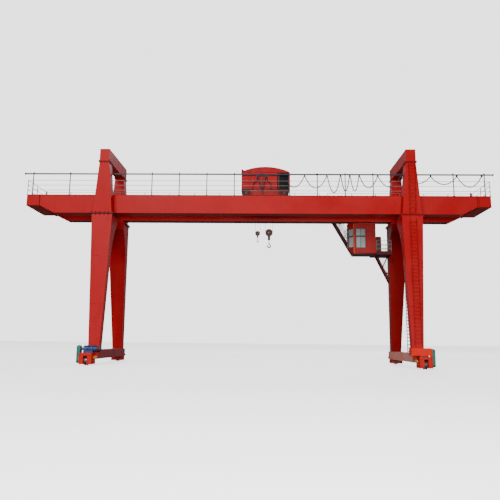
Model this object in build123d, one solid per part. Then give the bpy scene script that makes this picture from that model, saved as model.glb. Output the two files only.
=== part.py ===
from build123d import *
import math
import os

# A travelling double-girder gantry crane with two cantilevers and a portal over each pair of legs.
# X runs along the girders, Y along the ground rails and Z up; the origin is on the rail line's level,
# under the middle of the crane. All sizes are in millimetres.

# Main girders
girder_half_length = 15920.0
girder_outer_y = 1670.0
girder_width = 820.0
girder_top_z = 12160.0
girder_depth = 1370.0
girder_taper_length = 1170.0
girder_end_depth = 820.0
flange_plate = 18.0
flange_lip = 28.0

# End beams that tie the girders together
end_beam_length = 940.0
joint_plate = 30.0
joint_lip = 55.0

# Leg frames
leg_head_inner_x = 10280.0
leg_head_outer_x = 11770.0
leg_foot_inner_x = 10430.0
leg_foot_outer_x = 11160.0
leg_head_outer_y = 2360.0
leg_foot_outer_y = 3200.0
leg_foot_depth = 580.0
leg_shin_rise = 6450.0
leg_shin_depth = 600.0
leg_seat_rise = 480.0
leg_flange_z = 10620.0
leg_flange_plate = 40.0
leg_flange_lip = 70.0

# Upper legs and the portal beams on them
upper_leg_foot_inset = 60.0
upper_leg_head_inner_x = 10700.0
upper_leg_head_outer_x = 11400.0
upper_leg_head_outer_y = 2430.0
portal_bottom_z = 14460.0
portal_depth = 930.0
portal_outer_y = 2460.0
portal_flange_plate = 35.0
portal_flange_lip = 60.0

# Ground beams
ground_beam_inner_x = 10400.0
ground_beam_width = 800.0
ground_beam_half_length = 3560.0
ground_beam_bottom_z = 420.0
ground_beam_top_z = 1000.0
foot_plate = 30.0
foot_plate_lip = 20.0

# Wheel housings and travel wheels
rail_line_x = 11000.0
wheel_line_y = 3800.0
wheel_radius = 300.0
wheel_tread_radius = 270.0
wheel_width = 190.0
wheel_flange_width = 26.0
wheel_axle_radius = 45.0
axle_clearance = 0.3
housing_width = 820.0
housing_outer_y = 4200.0
housing_bottom_z = 90.0
housing_top_z = 820.0
housing_slot_width = 260.0
housing_slot_top_z = 640.0
housing_slot_inner_y = 3440.0
axle_end_inset = 30.0

# Buffers
buffer_x = 10490.0
buffer_z = 525.0
buffer_radius = 85.0
buffer_length = 260.0
buffer_plate = 25.0
buffer_plate_radius = 95.0

# Travel drives on the near corners
motor_radius = 200.0
motor_length = 1100.0
motor_z = 1080.0
motor_start_x = 10120.0
coupling_radius = 90.0
reducer_inner_x = 11420.0
reducer_width = 230.0
reducer_depth = 420.0
reducer_bottom_z = 150.0
reducer_top_z = 1300.0
hood_inner_x = 10080.0
hood_outer_x = 11400.0
hood_bottom_z = 880.0
hood_top_z = 1360.0
hood_outer_y = 4190.0
hood_inner_y = 3570.0
hood_wall = 12.0
hood_foot_length = 80.0
hood_foot_inset = 60.0
hood_corner_radius = 150.0

# Trolley rails
trolley_gauge = 2520.0
rail_height = 80.0
rail_width = 60.0
rail_end_gap = 260.0
rail_stop_height = 260.0
rail_stop_length = 90.0

# Trolley
trolley_centre_x = 645.0
trolley_half_base = 1400.0
trolley_wheel_radius = 175.0
trolley_wheel_width = 110.0
trolley_wheel_flange = 18.0
trolley_flange_height = 25.0
trolley_axle_radius = 40.0
wheel_gap = 0.3
trolley_half_length = 1660.0
carriage_width = 260.0
carriage_bottom_z = 12262.0
carriage_top_z = 12625.0
deck_top_z = 12660.0
pocket_width = 150.0
pocket_half_length = 215.0
house_half_length = 1755.0
house_half_width = 1440.0
house_eave_z = 13980.0
house_crest_z = 14370.0
house_wall = 40.0
roof_thickness = 30.0
roof_overhang = 30.0
lamp_inset = 70.0
lamp_radius = 60.0
lamp_height = 240.0
doorway_start_x = 925.0
doorway_width = 730.0
doorway_height = 1130.0
doorway_sill = 90.0

# The main hoist and the auxiliary hoist beside it
fall_radius = 10.0
sleeve_radius = 40.0
sleeve_length = 90.0
main_block_x = 950.0
main_axis_z = 9720.0
main_sheave_radius = 260.0
main_cheek_drop = 560.0
main_hook_drop = 1020.0
main_hook_radius = 110.0
aux_block_x = 95.0
aux_axis_z = 9660.0
aux_sheave_radius = 165.0
aux_cheek_drop = 320.0
aux_hook_drop = 600.0
aux_hook_radius = 66.0
sheave_width = 60.0
block_plate = 24.0
block_plate_gap = 84.0
cheek_rim = 20.0
cheek_tongue_share = 0.38
block_pin_share = 0.15
crosshead_share = 0.7
hook_band_share = 0.34
hook_width_share = 0.3
hook_shank_share = 0.26
hook_neck_share = 2.0
hook_opening_angle = 60.0
hook_sweep_angle = -265.0

# Walkway railings on the girders
railing_height = 1100.0
railing_rail_half = 12.0
railing_post_half = 20.0
railing_inset = 30.0
railing_rail_count = 3
railing_bay = 2050.0

# Festoon line
track_y = 1532.0
track_top_z = 13830.0
track_half_length = 17230.0
track_depth = 100.0
track_width = 50.0
festoon_post_half = 32.0
festoon_post_depth = 36.0
festoon_post_outer_y = 1668.0
festoon_post_rise = 40.0
festoon_post_bay = 2020.0
festoon_post_start_x = 400.0
festoon_outboard_left_x = 13760.0
festoon_outboard_right_x = 14270.0
festoon_end_post_x = 16500.0
carrier_length = 130.0
carrier_drop = 120.0
carrier_outer_y = 1562.0
carrier_inner_y = 1502.0
cable_y = 1532.0
cable_radius = 34.0
cable_gap = 6.0
deepest_sag = 1200.0
tow_bracket_length = 90.0
tow_bracket_depth = 70.0
tow_lift = 6.0
tow_carrier_start = -560.0
tow_carrier_end = 66.0
tow_strand_start = -900.0
tow_strand_end = 410.0
tow_strand_z = 12790.0
tow_sag = 900.0
cable_end_inset = 50.0
cable_end_z = 13100.0
cable_end_sag = 390.0
loop_pull_ratio = 4 / 3

# Carrier places along the track and the sag of the cable loop before each one
carrier_x_shares = (0.083, 0.2, 0.271, 0.319, 0.368, 0.464, 0.583, 0.737, 0.872)
loop_sag_shares = (0.708, 1.0, 0.892, 0.892, 0.683, 0.633, 0.442, 0.458, 0.625)

# Ladders
rung_side = 28.0
rung_pitch = 260.0
ladder_width = 440.0
stile_depth = 60.0
stile_width = 14.0
ladder_standoff = 160.0
ladder_low_share = 0.05
ladder_high_share = 0.97
ladder_foot_gap = 60.0
access_ladder_x = 11880.0
access_ladder_y = 2700.0
access_ladder_low_z = 320.0
access_ladder_rise_over = 950.0
access_bracket_heights = (2500.0, 5200.0)

# Operator's cab under the far girder
cab_front_x = 7060.0
cab_back_x = 9110.0
cab_near_y = 900.0
cab_far_y = 2200.0
cab_floor_z = 8300.0
cab_roof_z = 10690.0
cab_wall = 50.0
cab_chamfer = 380.0
cab_rake_height = 520.0
cab_rake_run = 380.0
cab_hanger = 120.0
window_sill_z = 8800.0
window_bar_z = 9620.0
window_bar_height = 110.0
window_head_z = 10250.0
side_window_start_x = 7620.0
side_window_width = 680.0
front_window_margin = 60.0
glass_thickness = 8.0
cab_door_width = 700.0
cab_door_height = 1950.0
cab_door_leaf = 40.0

# Platform, stairs and their railings beside the cab
platform_z = 8450.0
platform_depth = 170.0
platform_near_y = 950.0
platform_thick_y = 2700.0
platform_far_y = 3100.0
walkway_step = 250.0
walkway_start_x = 7580.0
walkway_riser = 160.0
floor_thickness = 60.0
cab_gap = 40.0
toe_board_height = 100.0
toe_board = 12.0
stair_width = 650.0
stair_far_y = 2950.0
stair_angle = 60.5
tread_depth = 230.0
tread_thickness = 30.0
tread_rise = 235.0
stringer_depth = 170.0
stringer_width = 30.0
top_landing_length = 700.0
leg_gap = 12.0
platform_outer_x = 11610.0
brace_depth = 160.0
brace_width = 90.0
brace_top_x = 9350.0
brace_rise = 2080.0
brace_near_y = 2160.0
brace_far_y = 2600.0
brace_lacing = 40.0
brace_lacing_count = 6
gate_width = 620.0
handrail_height = 950.0
handrail_bar = 30.0
handrail_bay = 1000.0

over = 50.0

girder_bottom_z = girder_top_z - girder_depth
girder_inner_y = girder_outer_y - girder_width
leg_top_z = leg_flange_z - leg_flange_plate
seat_plate_bottom_z = leg_flange_z
seat_bottom_z = leg_flange_z + leg_flange_plate
rail_top_z = girder_top_z + rail_height
rail_y = trolley_gauge / 2
end_beam_outer_x = girder_half_length + joint_plate * 2 + end_beam_length
walkway_z = platform_z + walkway_step
walkway_near_y = cab_far_y + cab_gap
walkway_far_y = stair_far_y
platform_bottom_z = platform_z - platform_depth


def block(x0, x1, y0, y1, z0, z1):
    """A box between two opposite corners."""
    size = Box(abs(x1 - x0), abs(y1 - y0), abs(z1 - z0))
    return Pos((x0 + x1) / 2, (y0 + y1) / 2, (z0 + z1) / 2) * size


def outline_xz(points, y0, y1):
    """A closed outline of (x, z) points carried from y0 to y1."""
    wire = Polyline(*[(x, 0, z) for x, z in points], close=True)
    face = make_face(wire)
    return Pos(0, min(y0, y1), 0) * extrude(face, abs(y1 - y0), dir=(0, 1, 0))


def outline_yz(points, x0, x1):
    """A closed outline of (y, z) points carried from x0 to x1."""
    wire = Polyline(*[(0, y, z) for y, z in points], close=True)
    face = make_face(wire)
    return Pos(min(x0, x1), 0, 0) * extrude(face, abs(x1 - x0), dir=(1, 0, 0))


def rod(start, end, radius):
    """A round bar from one point to another."""
    a = Vector(start)
    b = Vector(end)
    axis = b - a
    return extrude(Plane(origin=a, z_dir=axis) * Circle(radius), axis.length)


def bar(start, end, width, depth, up=(0, 0, 1)):
    """A flat bar from one point to another, its depth towards the up direction."""
    a = Vector(start)
    b = Vector(end)
    axis = b - a
    side = axis.cross(Vector(up))
    return extrude(Plane(origin=a, x_dir=side, z_dir=axis) * Rectangle(width, depth), axis.length)


def joined(pieces):
    """One shape from a list of pieces that meet."""
    first, *rest = pieces
    return first.fuse(*rest) if rest else first


def apart(pieces):
    """One node from solids that don't touch each other."""
    solids = [solid for piece in pieces for solid in piece.solids()]
    return Compound(children=solids)


def flip_x(shape):
    return shape.mirror(Plane.YZ)


def flip_y(shape):
    return shape.mirror(Plane.XZ)


def at_height(low, high, share):
    """The value between two sizes at a share of the way up."""
    return low + (high - low) * share


def near_girder():
    """Box girder with both ends tapered up, wider plates at top and bottom and a joint plate at each end."""
    half = girder_half_length
    taper = half - girder_taper_length
    end_z = girder_top_z - girder_end_depth
    web_y = (-girder_outer_y + flange_lip, -girder_inner_y - flange_lip)
    body = [(-half, girder_top_z), (-half, end_z), (-taper, girder_bottom_z),
            (taper, girder_bottom_z), (half, end_z), (half, girder_top_z)]
    webs = outline_xz(body, *web_y)
    plate_y = (-girder_outer_y, -girder_inner_y)
    top = block(-half, half, *plate_y, girder_top_z - flange_plate, girder_top_z)
    bottom_plate = [(-half, end_z), (-taper, girder_bottom_z), (taper, girder_bottom_z), (half, end_z),
                    (half, end_z + flange_plate), (taper, girder_bottom_z + flange_plate),
                    (-taper, girder_bottom_z + flange_plate), (-half, end_z + flange_plate)]
    bottom = outline_xz(bottom_plate, *plate_y)
    return joined([webs, top, bottom])


def right_end_beam():
    """Box beam across both girders' ends, with the joint plates on its inner side."""
    plate_end = girder_half_length + joint_plate * 2
    plates = block(girder_half_length, plate_end, -girder_outer_y - joint_lip, girder_outer_y + joint_lip,
                   girder_top_z - girder_end_depth - joint_lip, girder_top_z)
    webs = block(plate_end, end_beam_outer_x - flange_lip, -girder_outer_y + flange_lip,
                 girder_outer_y - flange_lip, girder_top_z - girder_end_depth, girder_top_z)
    plate_x = (plate_end, end_beam_outer_x)
    top = block(*plate_x, -girder_outer_y, girder_outer_y, girder_top_z - flange_plate, girder_top_z)
    low_z = girder_top_z - girder_end_depth
    bottom = block(*plate_x, -girder_outer_y, girder_outer_y, low_z, low_z + flange_plate)
    return joined([plates, webs, top, bottom])


def leg_profile_yz():
    """The near leg seen along the girders: a straight outer edge and an inner edge that flares into a seat."""
    foot_z = ground_beam_top_z + foot_plate
    shin_z = foot_z + leg_shin_rise
    seat_z = leg_top_z - leg_seat_rise
    share = leg_shin_rise / (leg_top_z - foot_z)
    shin_outer = at_height(leg_foot_outer_y, leg_head_outer_y, share)
    foot_in = (0, -leg_foot_outer_y + leg_foot_depth, foot_z)
    shin_in = (0, -shin_outer + leg_shin_depth, shin_z)
    seat_in = (0, -girder_inner_y, seat_z)
    outer = Polyline((0, -girder_inner_y, seat_z), (0, -girder_inner_y, leg_top_z),
                     (0, -leg_head_outer_y, leg_top_z), (0, -leg_foot_outer_y, foot_z), foot_in, shin_in)
    flare = TangentArc(shin_in, seat_in, tangent=Vector(shin_in) - Vector(foot_in))
    return make_face([outer, flare])


def near_right_leg():
    """Tapered box leg with a curved haunch under the girder, a foot plate and a bolted head plate."""
    foot_z = ground_beam_top_z + foot_plate
    long_shape = extrude(leg_profile_yz(), leg_head_outer_x + over, dir=(1, 0, 0))
    front = [(leg_foot_inner_x, foot_z), (leg_foot_outer_x, foot_z),
             (leg_head_outer_x, leg_top_z), (leg_head_inner_x, leg_top_z)]
    column = long_shape.intersect(outline_xz(front, -leg_foot_outer_y - over, 0))
    head = block(leg_head_inner_x - leg_flange_lip, leg_head_outer_x + leg_flange_lip,
                 -leg_head_outer_y - leg_flange_lip, -girder_inner_y, leg_top_z, leg_flange_z)
    foot = block(leg_foot_inner_x - foot_plate_lip, leg_foot_outer_x + foot_plate_lip,
                 -leg_foot_outer_y - foot_plate_lip, -leg_foot_outer_y + leg_foot_depth + foot_plate_lip,
                 ground_beam_top_z, foot_z)
    return joined([column.solids()[0], head, foot])


def near_right_upper_leg():
    """Tapered box beside the girder's outer web, with a seat that reaches in under the girder."""
    top_z = portal_bottom_z - portal_flange_plate
    foot_in = leg_head_inner_x + upper_leg_foot_inset
    foot_out = leg_head_outer_x - upper_leg_foot_inset
    front = [(foot_in, seat_bottom_z), (foot_out, seat_bottom_z),
             (upper_leg_head_outer_x, top_z), (upper_leg_head_inner_x, top_z)]
    side = [(-girder_outer_y, seat_bottom_z), (-girder_outer_y, top_z),
            (-upper_leg_head_outer_y, top_z), (-leg_head_outer_y, seat_bottom_z)]
    column = outline_xz(front, -upper_leg_head_outer_y - over, 0).intersect(
        outline_yz(side, foot_in - over, foot_out + over)).solids()[0]
    plate = block(leg_head_inner_x - leg_flange_lip, leg_head_outer_x + leg_flange_lip,
                  -leg_head_outer_y - leg_flange_lip, -girder_inner_y, seat_plate_bottom_z, seat_bottom_z)
    seat = block(foot_in, foot_out, -girder_outer_y, -girder_inner_y, seat_bottom_z, girder_bottom_z)
    lip = portal_flange_lip
    head = block(upper_leg_head_inner_x - lip, upper_leg_head_outer_x + lip,
                 -upper_leg_head_outer_y - lip, -girder_outer_y + lip, top_z, portal_bottom_z)
    return joined([column, plate, seat, head])


def right_portal_beam():
    """Box beam across the tops of both upper legs, with flange plates where it is bolted to them."""
    low_z = portal_bottom_z + portal_flange_plate
    top_z = portal_bottom_z + portal_depth
    body = block(upper_leg_head_inner_x, upper_leg_head_outer_x, -portal_outer_y, portal_outer_y, low_z, top_z)
    lip = portal_flange_lip
    plates = []
    for side in (-1, 1):
        plates.append(block(upper_leg_head_inner_x - lip, upper_leg_head_outer_x + lip,
                            side * (upper_leg_head_outer_y + lip), side * (girder_outer_y - lip),
                            portal_bottom_z, low_z))
    return joined([body] + plates)


def right_ground_beam():
    """Box beam under both legs, with a slotted wheel housing and bearing bosses at each end."""
    outer_x = ground_beam_inner_x + ground_beam_width
    body = block(ground_beam_inner_x, outer_x, -ground_beam_half_length, ground_beam_half_length,
                 ground_beam_bottom_z, ground_beam_top_z)
    pieces = [body]
    housing_x = (rail_line_x - housing_width / 2, rail_line_x + housing_width / 2)
    for side in (-1, 1):
        inner_y = housing_slot_inner_y - housing_slot_width / 2
        shell = block(*housing_x, side * inner_y, side * housing_outer_y, housing_bottom_z, housing_top_z)
        pieces.append(shell)
    beam = joined(pieces)
    slot_x = (rail_line_x - housing_slot_width / 2, rail_line_x + housing_slot_width / 2)
    for side in (-1, 1):
        slot = block(*slot_x, side * housing_slot_inner_y, side * (housing_outer_y + over),
                     housing_bottom_z - over, housing_slot_top_z)
        bore = rod((housing_x[0] - over, side * wheel_line_y, wheel_radius),
                   (housing_x[1] + over, side * wheel_line_y, wheel_radius),
                   wheel_axle_radius + axle_clearance)
        beam = beam - slot - bore
    return beam.solids()[0]


def travel_wheel(side_x, side_y):
    """Double-flanged wheel on its axle, which turns in the housing's cheeks."""
    centre_x = side_x * rail_line_x
    half = wheel_width / 2
    rim = half - wheel_flange_width
    profile = [(-half, 0), (-half, wheel_radius), (-rim, wheel_radius), (-rim, wheel_tread_radius),
               (rim, wheel_tread_radius), (rim, wheel_radius), (half, wheel_radius), (half, 0)]
    face = make_face(Polyline(*[(x, 0, r) for x, r in profile], close=True))
    disc = revolve(face, Axis.X)
    axle_half = housing_width / 2 - axle_end_inset
    axle = rod((-axle_half, 0, 0), (axle_half, 0, 0), wheel_axle_radius)
    return Pos(centre_x, side_y * wheel_line_y, wheel_radius) * joined([disc, axle])


def buffers():
    """A round rubber buffer on its plate at each end of both ground beams."""
    pieces = []
    for side_x in (-1, 1):
        for side_y in (-1, 1):
            x = side_x * buffer_x
            y = side_y * ground_beam_half_length
            plate_end = y + side_y * buffer_plate
            plate = rod((x, y, buffer_z), (x, plate_end, buffer_z), buffer_plate_radius)
            pad = rod((x, plate_end, buffer_z), (x, plate_end + side_y * buffer_length, buffer_z), buffer_radius)
            pieces.append(joined([plate, pad]))
    return apart(pieces)


def travel_motor(side):
    """Motor lying along the girders' direction on a base, with its shaft to the gear case."""
    y = -wheel_line_y
    start = side * motor_start_x
    end = side * (motor_start_x + motor_length)
    barrel = rod((start, y, motor_z), (end, y, motor_z), motor_radius)
    shaft = rod((end, y, motor_z), (side * reducer_inner_x, y, motor_z), coupling_radius)
    base_start = side * (rail_line_x - housing_width / 2)
    base = block(base_start, end, y - motor_radius, y + motor_radius, housing_top_z, motor_z - motor_radius / 2)
    return joined([barrel, shaft, base])


def travel_motors():
    return apart([travel_motor(-1), travel_motor(1)])


def travel_reducer(side):
    """Upright gear case on the outer cheek of the wheel housing, round at both ends."""
    y = -wheel_line_y
    inner = side * reducer_inner_x
    outer = side * (reducer_inner_x + reducer_width)
    radius = reducer_depth / 2
    core = block(inner, outer, y - radius, y + radius, reducer_bottom_z + radius, reducer_top_z - radius)
    ends = [rod((inner, y, z), (outer, y, z), radius)
            for z in (reducer_bottom_z + radius, reducer_top_z - radius)]
    return joined([core] + ends)


def travel_reducers():
    return apart([travel_reducer(-1), travel_reducer(1)])


def drive_hood():
    """Rain hood over the right-hand motor: a round-shouldered cover, open below and towards the gear case."""
    outer = block(hood_inner_x, hood_outer_x, -hood_outer_y, -hood_inner_y, hood_bottom_z, hood_top_z)
    long_edges = outer.edges().filter_by(Axis.X).group_by(Axis.Z)[-1]
    outer = fillet(long_edges, hood_corner_radius)
    inner = block(hood_inner_x + hood_wall, hood_outer_x + over, -hood_outer_y + hood_wall,
                  -hood_inner_y - hood_wall, hood_bottom_z - over, hood_top_z - hood_wall)
    inner_edges = inner.edges().filter_by(Axis.X).group_by(Axis.Z)[-1]
    inner = fillet(inner_edges, hood_corner_radius - hood_wall)
    shell = (outer - inner).solids()[0]
    feet = []
    for x in (rail_line_x - housing_width / 2 + hood_foot_inset, hood_outer_x - hood_foot_inset - hood_foot_length):
        for y in (-hood_outer_y, -hood_inner_y - hood_wall):
            feet.append(block(x, x + hood_foot_length, y, y + hood_wall, housing_top_z, hood_bottom_z))
    return joined([shell] + feet)


def trolley_rails():
    """A flat rail on each girder's middle with a stop plate at both ends."""
    half = girder_half_length - rail_end_gap
    pieces = []
    for side in (-1, 1):
        y = side * rail_y
        rail = block(-half, half, y - rail_width / 2, y + rail_width / 2, girder_top_z, rail_top_z)
        stops = [block(end * half, end * (half - rail_stop_length), y - rail_width, y + rail_width,
                       girder_top_z, rail_top_z + rail_stop_height) for end in (-1, 1)]
        pieces.append(joined([rail] + stops))
    return apart(pieces)


def railing_end_x():
    return end_beam_outer_x - railing_inset - railing_post_half


def railing_rails(x0, x1, y):
    """Three level rails between two places along a girder."""
    pieces = []
    for level in range(1, railing_rail_count + 1):
        z = girder_top_z + railing_height * level / railing_rail_count
        pieces.append(block(x0, x1, y - railing_rail_half, y + railing_rail_half, z - railing_rail_half * 2, z))
    return pieces


def railing_post(x, y):
    half = railing_post_half
    return block(x - half, x + half, y - half, y + half, girder_top_z, girder_top_z + railing_height)


def near_railing():
    """Rails on the inner side of the cable line's posts, with the railing's own posts at both ends."""
    y = -festoon_post_outer_y + festoon_post_depth + railing_rail_half
    end_x = railing_end_x()
    return joined(railing_rails(-end_x, end_x, y) + [railing_post(-end_x, y), railing_post(end_x, y)])


def far_railing():
    """The far girder's railing on its own posts, with a gap where the stair's landing meets it."""
    y = girder_outer_y - railing_inset - railing_post_half
    end_x = railing_end_x()
    top_x = stair_top_x()
    gate_x = top_x - top_landing_length / 2
    runs = []
    for x0, x1 in ((-end_x, gate_x - gate_width / 2), (gate_x + gate_width / 2, end_x)):
        bays = max(1, round((x1 - x0) / railing_bay))
        posts = [railing_post(x0 + (x1 - x0) * step / bays, y) for step in range(bays + 1)]
        runs.append(joined(railing_rails(x0, x1, y) + posts))
    return apart(runs)


def end_railings():
    """The railing across each end beam, between the two long railings."""
    x = railing_end_x()
    near_y = -festoon_post_outer_y + festoon_post_depth + railing_rail_half + railing_post_half
    far_y = girder_outer_y - railing_inset - railing_post_half * 2
    pieces = [railing_post(x, 0)]
    for level in range(1, railing_rail_count + 1):
        z = girder_top_z + railing_height * level / railing_rail_count
        pieces.append(block(x - railing_rail_half, x + railing_rail_half, near_y, far_y,
                            z - railing_rail_half * 2, z))
    right = joined(pieces)
    return apart([right, flip_x(right)])


def festoon_posts_x():
    """Post places: an even row over the middle and a last post near each end."""
    reach = upper_leg_head_inner_x - festoon_post_bay / 2
    count = int((reach - festoon_post_start_x) / festoon_post_bay)
    row = [festoon_post_start_x + festoon_post_bay * step for step in range(count + 1)]
    left_count = int((reach + festoon_post_start_x) / festoon_post_bay)
    row += [festoon_post_start_x - festoon_post_bay * step for step in range(1, left_count + 1)]
    row += [-festoon_outboard_left_x, festoon_outboard_right_x, -festoon_end_post_x, festoon_end_post_x]
    return sorted(row)


def festoon_posts():
    """Steel posts on the near girder's edge, each with an arm inwards to the cable track."""
    outer_y = -festoon_post_outer_y
    inner_y = outer_y + festoon_post_depth
    pieces = []
    for x in festoon_posts_x():
        x0 = x - festoon_post_half
        x1 = x + festoon_post_half
        post = block(x0, x1, outer_y, inner_y, girder_top_z, track_top_z + festoon_post_rise)
        arm = block(x0, x1, inner_y, -track_y - track_width / 2, track_top_z - track_depth, track_top_z)
        pieces.append(joined([post, arm]))
    return apart(pieces)


def festoon_track():
    """The track that the cable carriers run in."""
    return block(-track_half_length, track_half_length, -track_y - track_width / 2, -track_y + track_width / 2,
                 track_top_z - track_depth, track_top_z)


def cable_end_x():
    """X where the cable's first end meets the trolley's house."""
    return trolley_centre_x + house_half_length - cable_end_inset


def last_clamp_x():
    """X of the fixed clamp at the cable's other end."""
    return festoon_end_post_x - carrier_length


def carrier_places():
    """X of each carrier between the trolley and the fixed clamp."""
    span = last_clamp_x() - cable_end_x()
    return [cable_end_x() + span * share for share in carrier_x_shares]


def carrier_bottom_z():
    return track_top_z - track_depth - carrier_drop


def festoon_carriers():
    """Small hangers under the track, one at the top of each cable loop, and the clamp at the far end."""
    pieces = []
    for x in carrier_places() + [last_clamp_x()]:
        pieces.append(block(x - carrier_length / 2, x + carrier_length / 2, -carrier_outer_y, -carrier_inner_y,
                            carrier_bottom_z(), carrier_bottom_z() + carrier_drop))
    return apart(pieces)


def hanging_loop(x0, z0, x1, z1, pull_z):
    """One hanging loop of cable that leaves both its ends straight down towards the pull's height."""
    path = Bezier((x0, -cable_y, z0), (x0, -cable_y, pull_z), (x1, -cable_y, pull_z), (x1, -cable_y, z1))
    section = Plane(origin=path @ 0, x_dir=(0, 1, 0), z_dir=path % 0) * Circle(cable_radius)
    return sweep(section, path, is_frenet=True)


def festoon_cable():
    """The cable loops from the trolley to the fixed clamp."""
    top_z = carrier_bottom_z()
    places = carrier_places()
    stops = places + [last_clamp_x()]
    gap = cable_radius + cable_gap
    pieces = [hanging_loop(cable_end_x(), cable_end_z, places[0] - gap, top_z, cable_end_z - cable_end_sag)]
    for start, end, share in zip(stops[:-1], stops[1:], loop_sag_shares):
        pieces.append(hanging_loop(start + gap, top_z, end - gap, top_z, top_z - deepest_sag * share * loop_pull_ratio))
    return apart(pieces)


def tow_cables():
    """Two towed carriers beside the house, the loop between them and a strand down to the wall from each."""
    top_z = carrier_bottom_z() - tow_lift
    starts = (trolley_centre_x + tow_carrier_start, trolley_centre_x + tow_carrier_end)
    pieces = []
    for x in starts:
        pieces.append(block(x - carrier_length / 2, x + carrier_length / 2, -carrier_outer_y, -carrier_inner_y,
                            top_z, top_z + carrier_drop))
    gap = cable_radius + cable_gap
    pieces.append(hanging_loop(starts[0] + gap, top_z, starts[1] - gap, top_z, top_z - tow_sag * loop_pull_ratio))
    ends = (trolley_centre_x + tow_strand_start, trolley_centre_x + tow_strand_end)
    for end, x in ((ends[0], starts[0] - gap), (ends[1], starts[1] + gap)):
        middle = (tow_strand_z + top_z) / 2
        path = Bezier((end, -cable_y, tow_strand_z), (end, -cable_y, middle), (x, -cable_y, middle),
                      (x, -cable_y, top_z))
        section = Plane(origin=path @ 0, x_dir=(0, 1, 0), z_dir=path % 0) * Circle(cable_radius)
        pieces.append(sweep(section, path, is_frenet=True))
    return joined(pieces)


def ladder_between(low, high, across, face, brackets):
    """A ladder: flat stiles, square rungs and (height along it, stand-off, which stiles) brackets behind."""
    a = Vector(low)
    axis = Vector(high) - a
    side = Vector(across)
    out = Vector(face)
    unit = axis.normalized()
    half = ladder_width / 2
    pieces = []
    for sign in (-1, 1):
        start = a + side * (half * sign)
        pieces.append(bar(start, start + axis, stile_depth, stile_width, up=side))
    count = int(axis.length / rung_pitch)
    margin = (axis.length - rung_pitch * (count - 1)) / 2
    for step in range(count):
        centre = a + unit * (margin + rung_pitch * step)
        pieces.append(bar(centre - side * half, centre + side * half, rung_side, rung_side, up=out))
    for place, length, signs in brackets:
        for sign in signs:
            head = a + unit * place + side * (half * sign)
            pieces.append(bar(head - out * length, head, stile_width, stile_depth, up=unit))
    return joined(pieces)


def face_ladder(low, high, face_side):
    """A ladder that stands off a leg's near face between two points on it."""
    axis = Vector(high) - Vector(low)
    unit = axis.normalized()
    out = unit.cross(Vector(1, 0, 0))
    out = (out if out.Y * face_side > 0 else out * -1).normalized()
    side = unit.cross(out).normalized()
    offset = out * ladder_standoff
    places = (rung_pitch, axis.length / 2, axis.length - rung_pitch)
    brackets = [(place, ladder_standoff, (-1, 1)) for place in places]
    return ladder_between(Vector(low) + offset, Vector(high) + offset, side, out, brackets)


def leg_outer_point(share):
    """Centre of the near right leg's outer face at a share of its height."""
    foot_z = ground_beam_top_z + foot_plate
    low_x = (leg_foot_inner_x + leg_foot_outer_x) / 2
    high_x = (leg_head_inner_x + leg_head_outer_x) / 2
    return (at_height(low_x, high_x, share), -at_height(leg_foot_outer_y, leg_head_outer_y, share),
            at_height(foot_z, leg_top_z, share))


def leg_ladder():
    """Ladder up the outer face of the near right leg."""
    return face_ladder(leg_outer_point(ladder_low_share), leg_outer_point(ladder_high_share), -1)


def cab_outline(inset):
    """The cab's form: a plan with chamfered front corners and a lower front that rakes back."""
    x0 = cab_front_x + inset
    x1 = cab_back_x - inset
    y0 = cab_near_y + inset
    y1 = cab_far_y - inset
    cut = cab_chamfer - inset * (math.sqrt(2) - 1)
    low = cab_floor_z + inset
    high = cab_roof_z - inset
    plan = [(x0, y0 + cut), (x0 + cut, y0), (x1, y0), (x1, y1), (x0 + cut, y1), (x0, y1 - cut)]
    wire = Polyline(*[(x, y, low) for x, y in plan], close=True)
    body = extrude(make_face(wire), high - low, dir=(0, 0, 1))
    side = [(x0, high), (x0, cab_floor_z + cab_rake_height), (x0 + cab_rake_run, low), (x1, low), (x1, high)]
    return body.intersect(outline_xz(side, y0, y1)).solids()[0]


def window_bands():
    """Low and high edges of the lower and upper panes."""
    return ((window_sill_z, window_bar_z), (window_bar_z + window_bar_height, window_head_z))


def side_panes(thickness, y_face, inward):
    """Panes or cuts in one long side."""
    panes = []
    for low, high in window_bands():
        panes.append(block(side_window_start_x, side_window_start_x + side_window_width,
                           y_face, y_face + inward * thickness, low, high))
    return panes


def front_panes(thickness, offset):
    """Panes or cuts in the front wall, between the chamfers."""
    y0 = cab_near_y + cab_chamfer + front_window_margin
    y1 = cab_far_y - cab_chamfer - front_window_margin
    panes = []
    for low, high in window_bands():
        start = max(low, cab_floor_z + cab_rake_height + front_window_margin / 2)
        panes.append(block(cab_front_x + offset, cab_front_x + offset + thickness, y0, y1, start, high))
    return panes


def corner_panes(thickness, offset):
    """Panes or cuts in the two chamfered front corners."""
    width = cab_chamfer * math.sqrt(2) - front_window_margin * 2
    panes = []
    for low, high in window_bands():
        start = max(low, cab_floor_z + cab_rake_height + front_window_margin / 2)
        for side in (-1, 1):
            corner_y = cab_near_y if side < 0 else cab_far_y
            centre = Vector(cab_front_x + cab_chamfer / 2, corner_y - side * cab_chamfer / 2, start)
            inward = Vector(1, -side, 0).normalized()
            origin = centre + inward * offset
            plane = Plane(origin=origin, x_dir=(inward.Y, -inward.X, 0), z_dir=inward)
            pane = extrude(plane * Rectangle(width, (high - start) * 2), thickness)
            keep = block(cab_front_x - over, cab_back_x, cab_near_y - over, cab_far_y + over, start, high)
            panes.append(pane.intersect(keep).solids()[0])
    return panes


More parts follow.
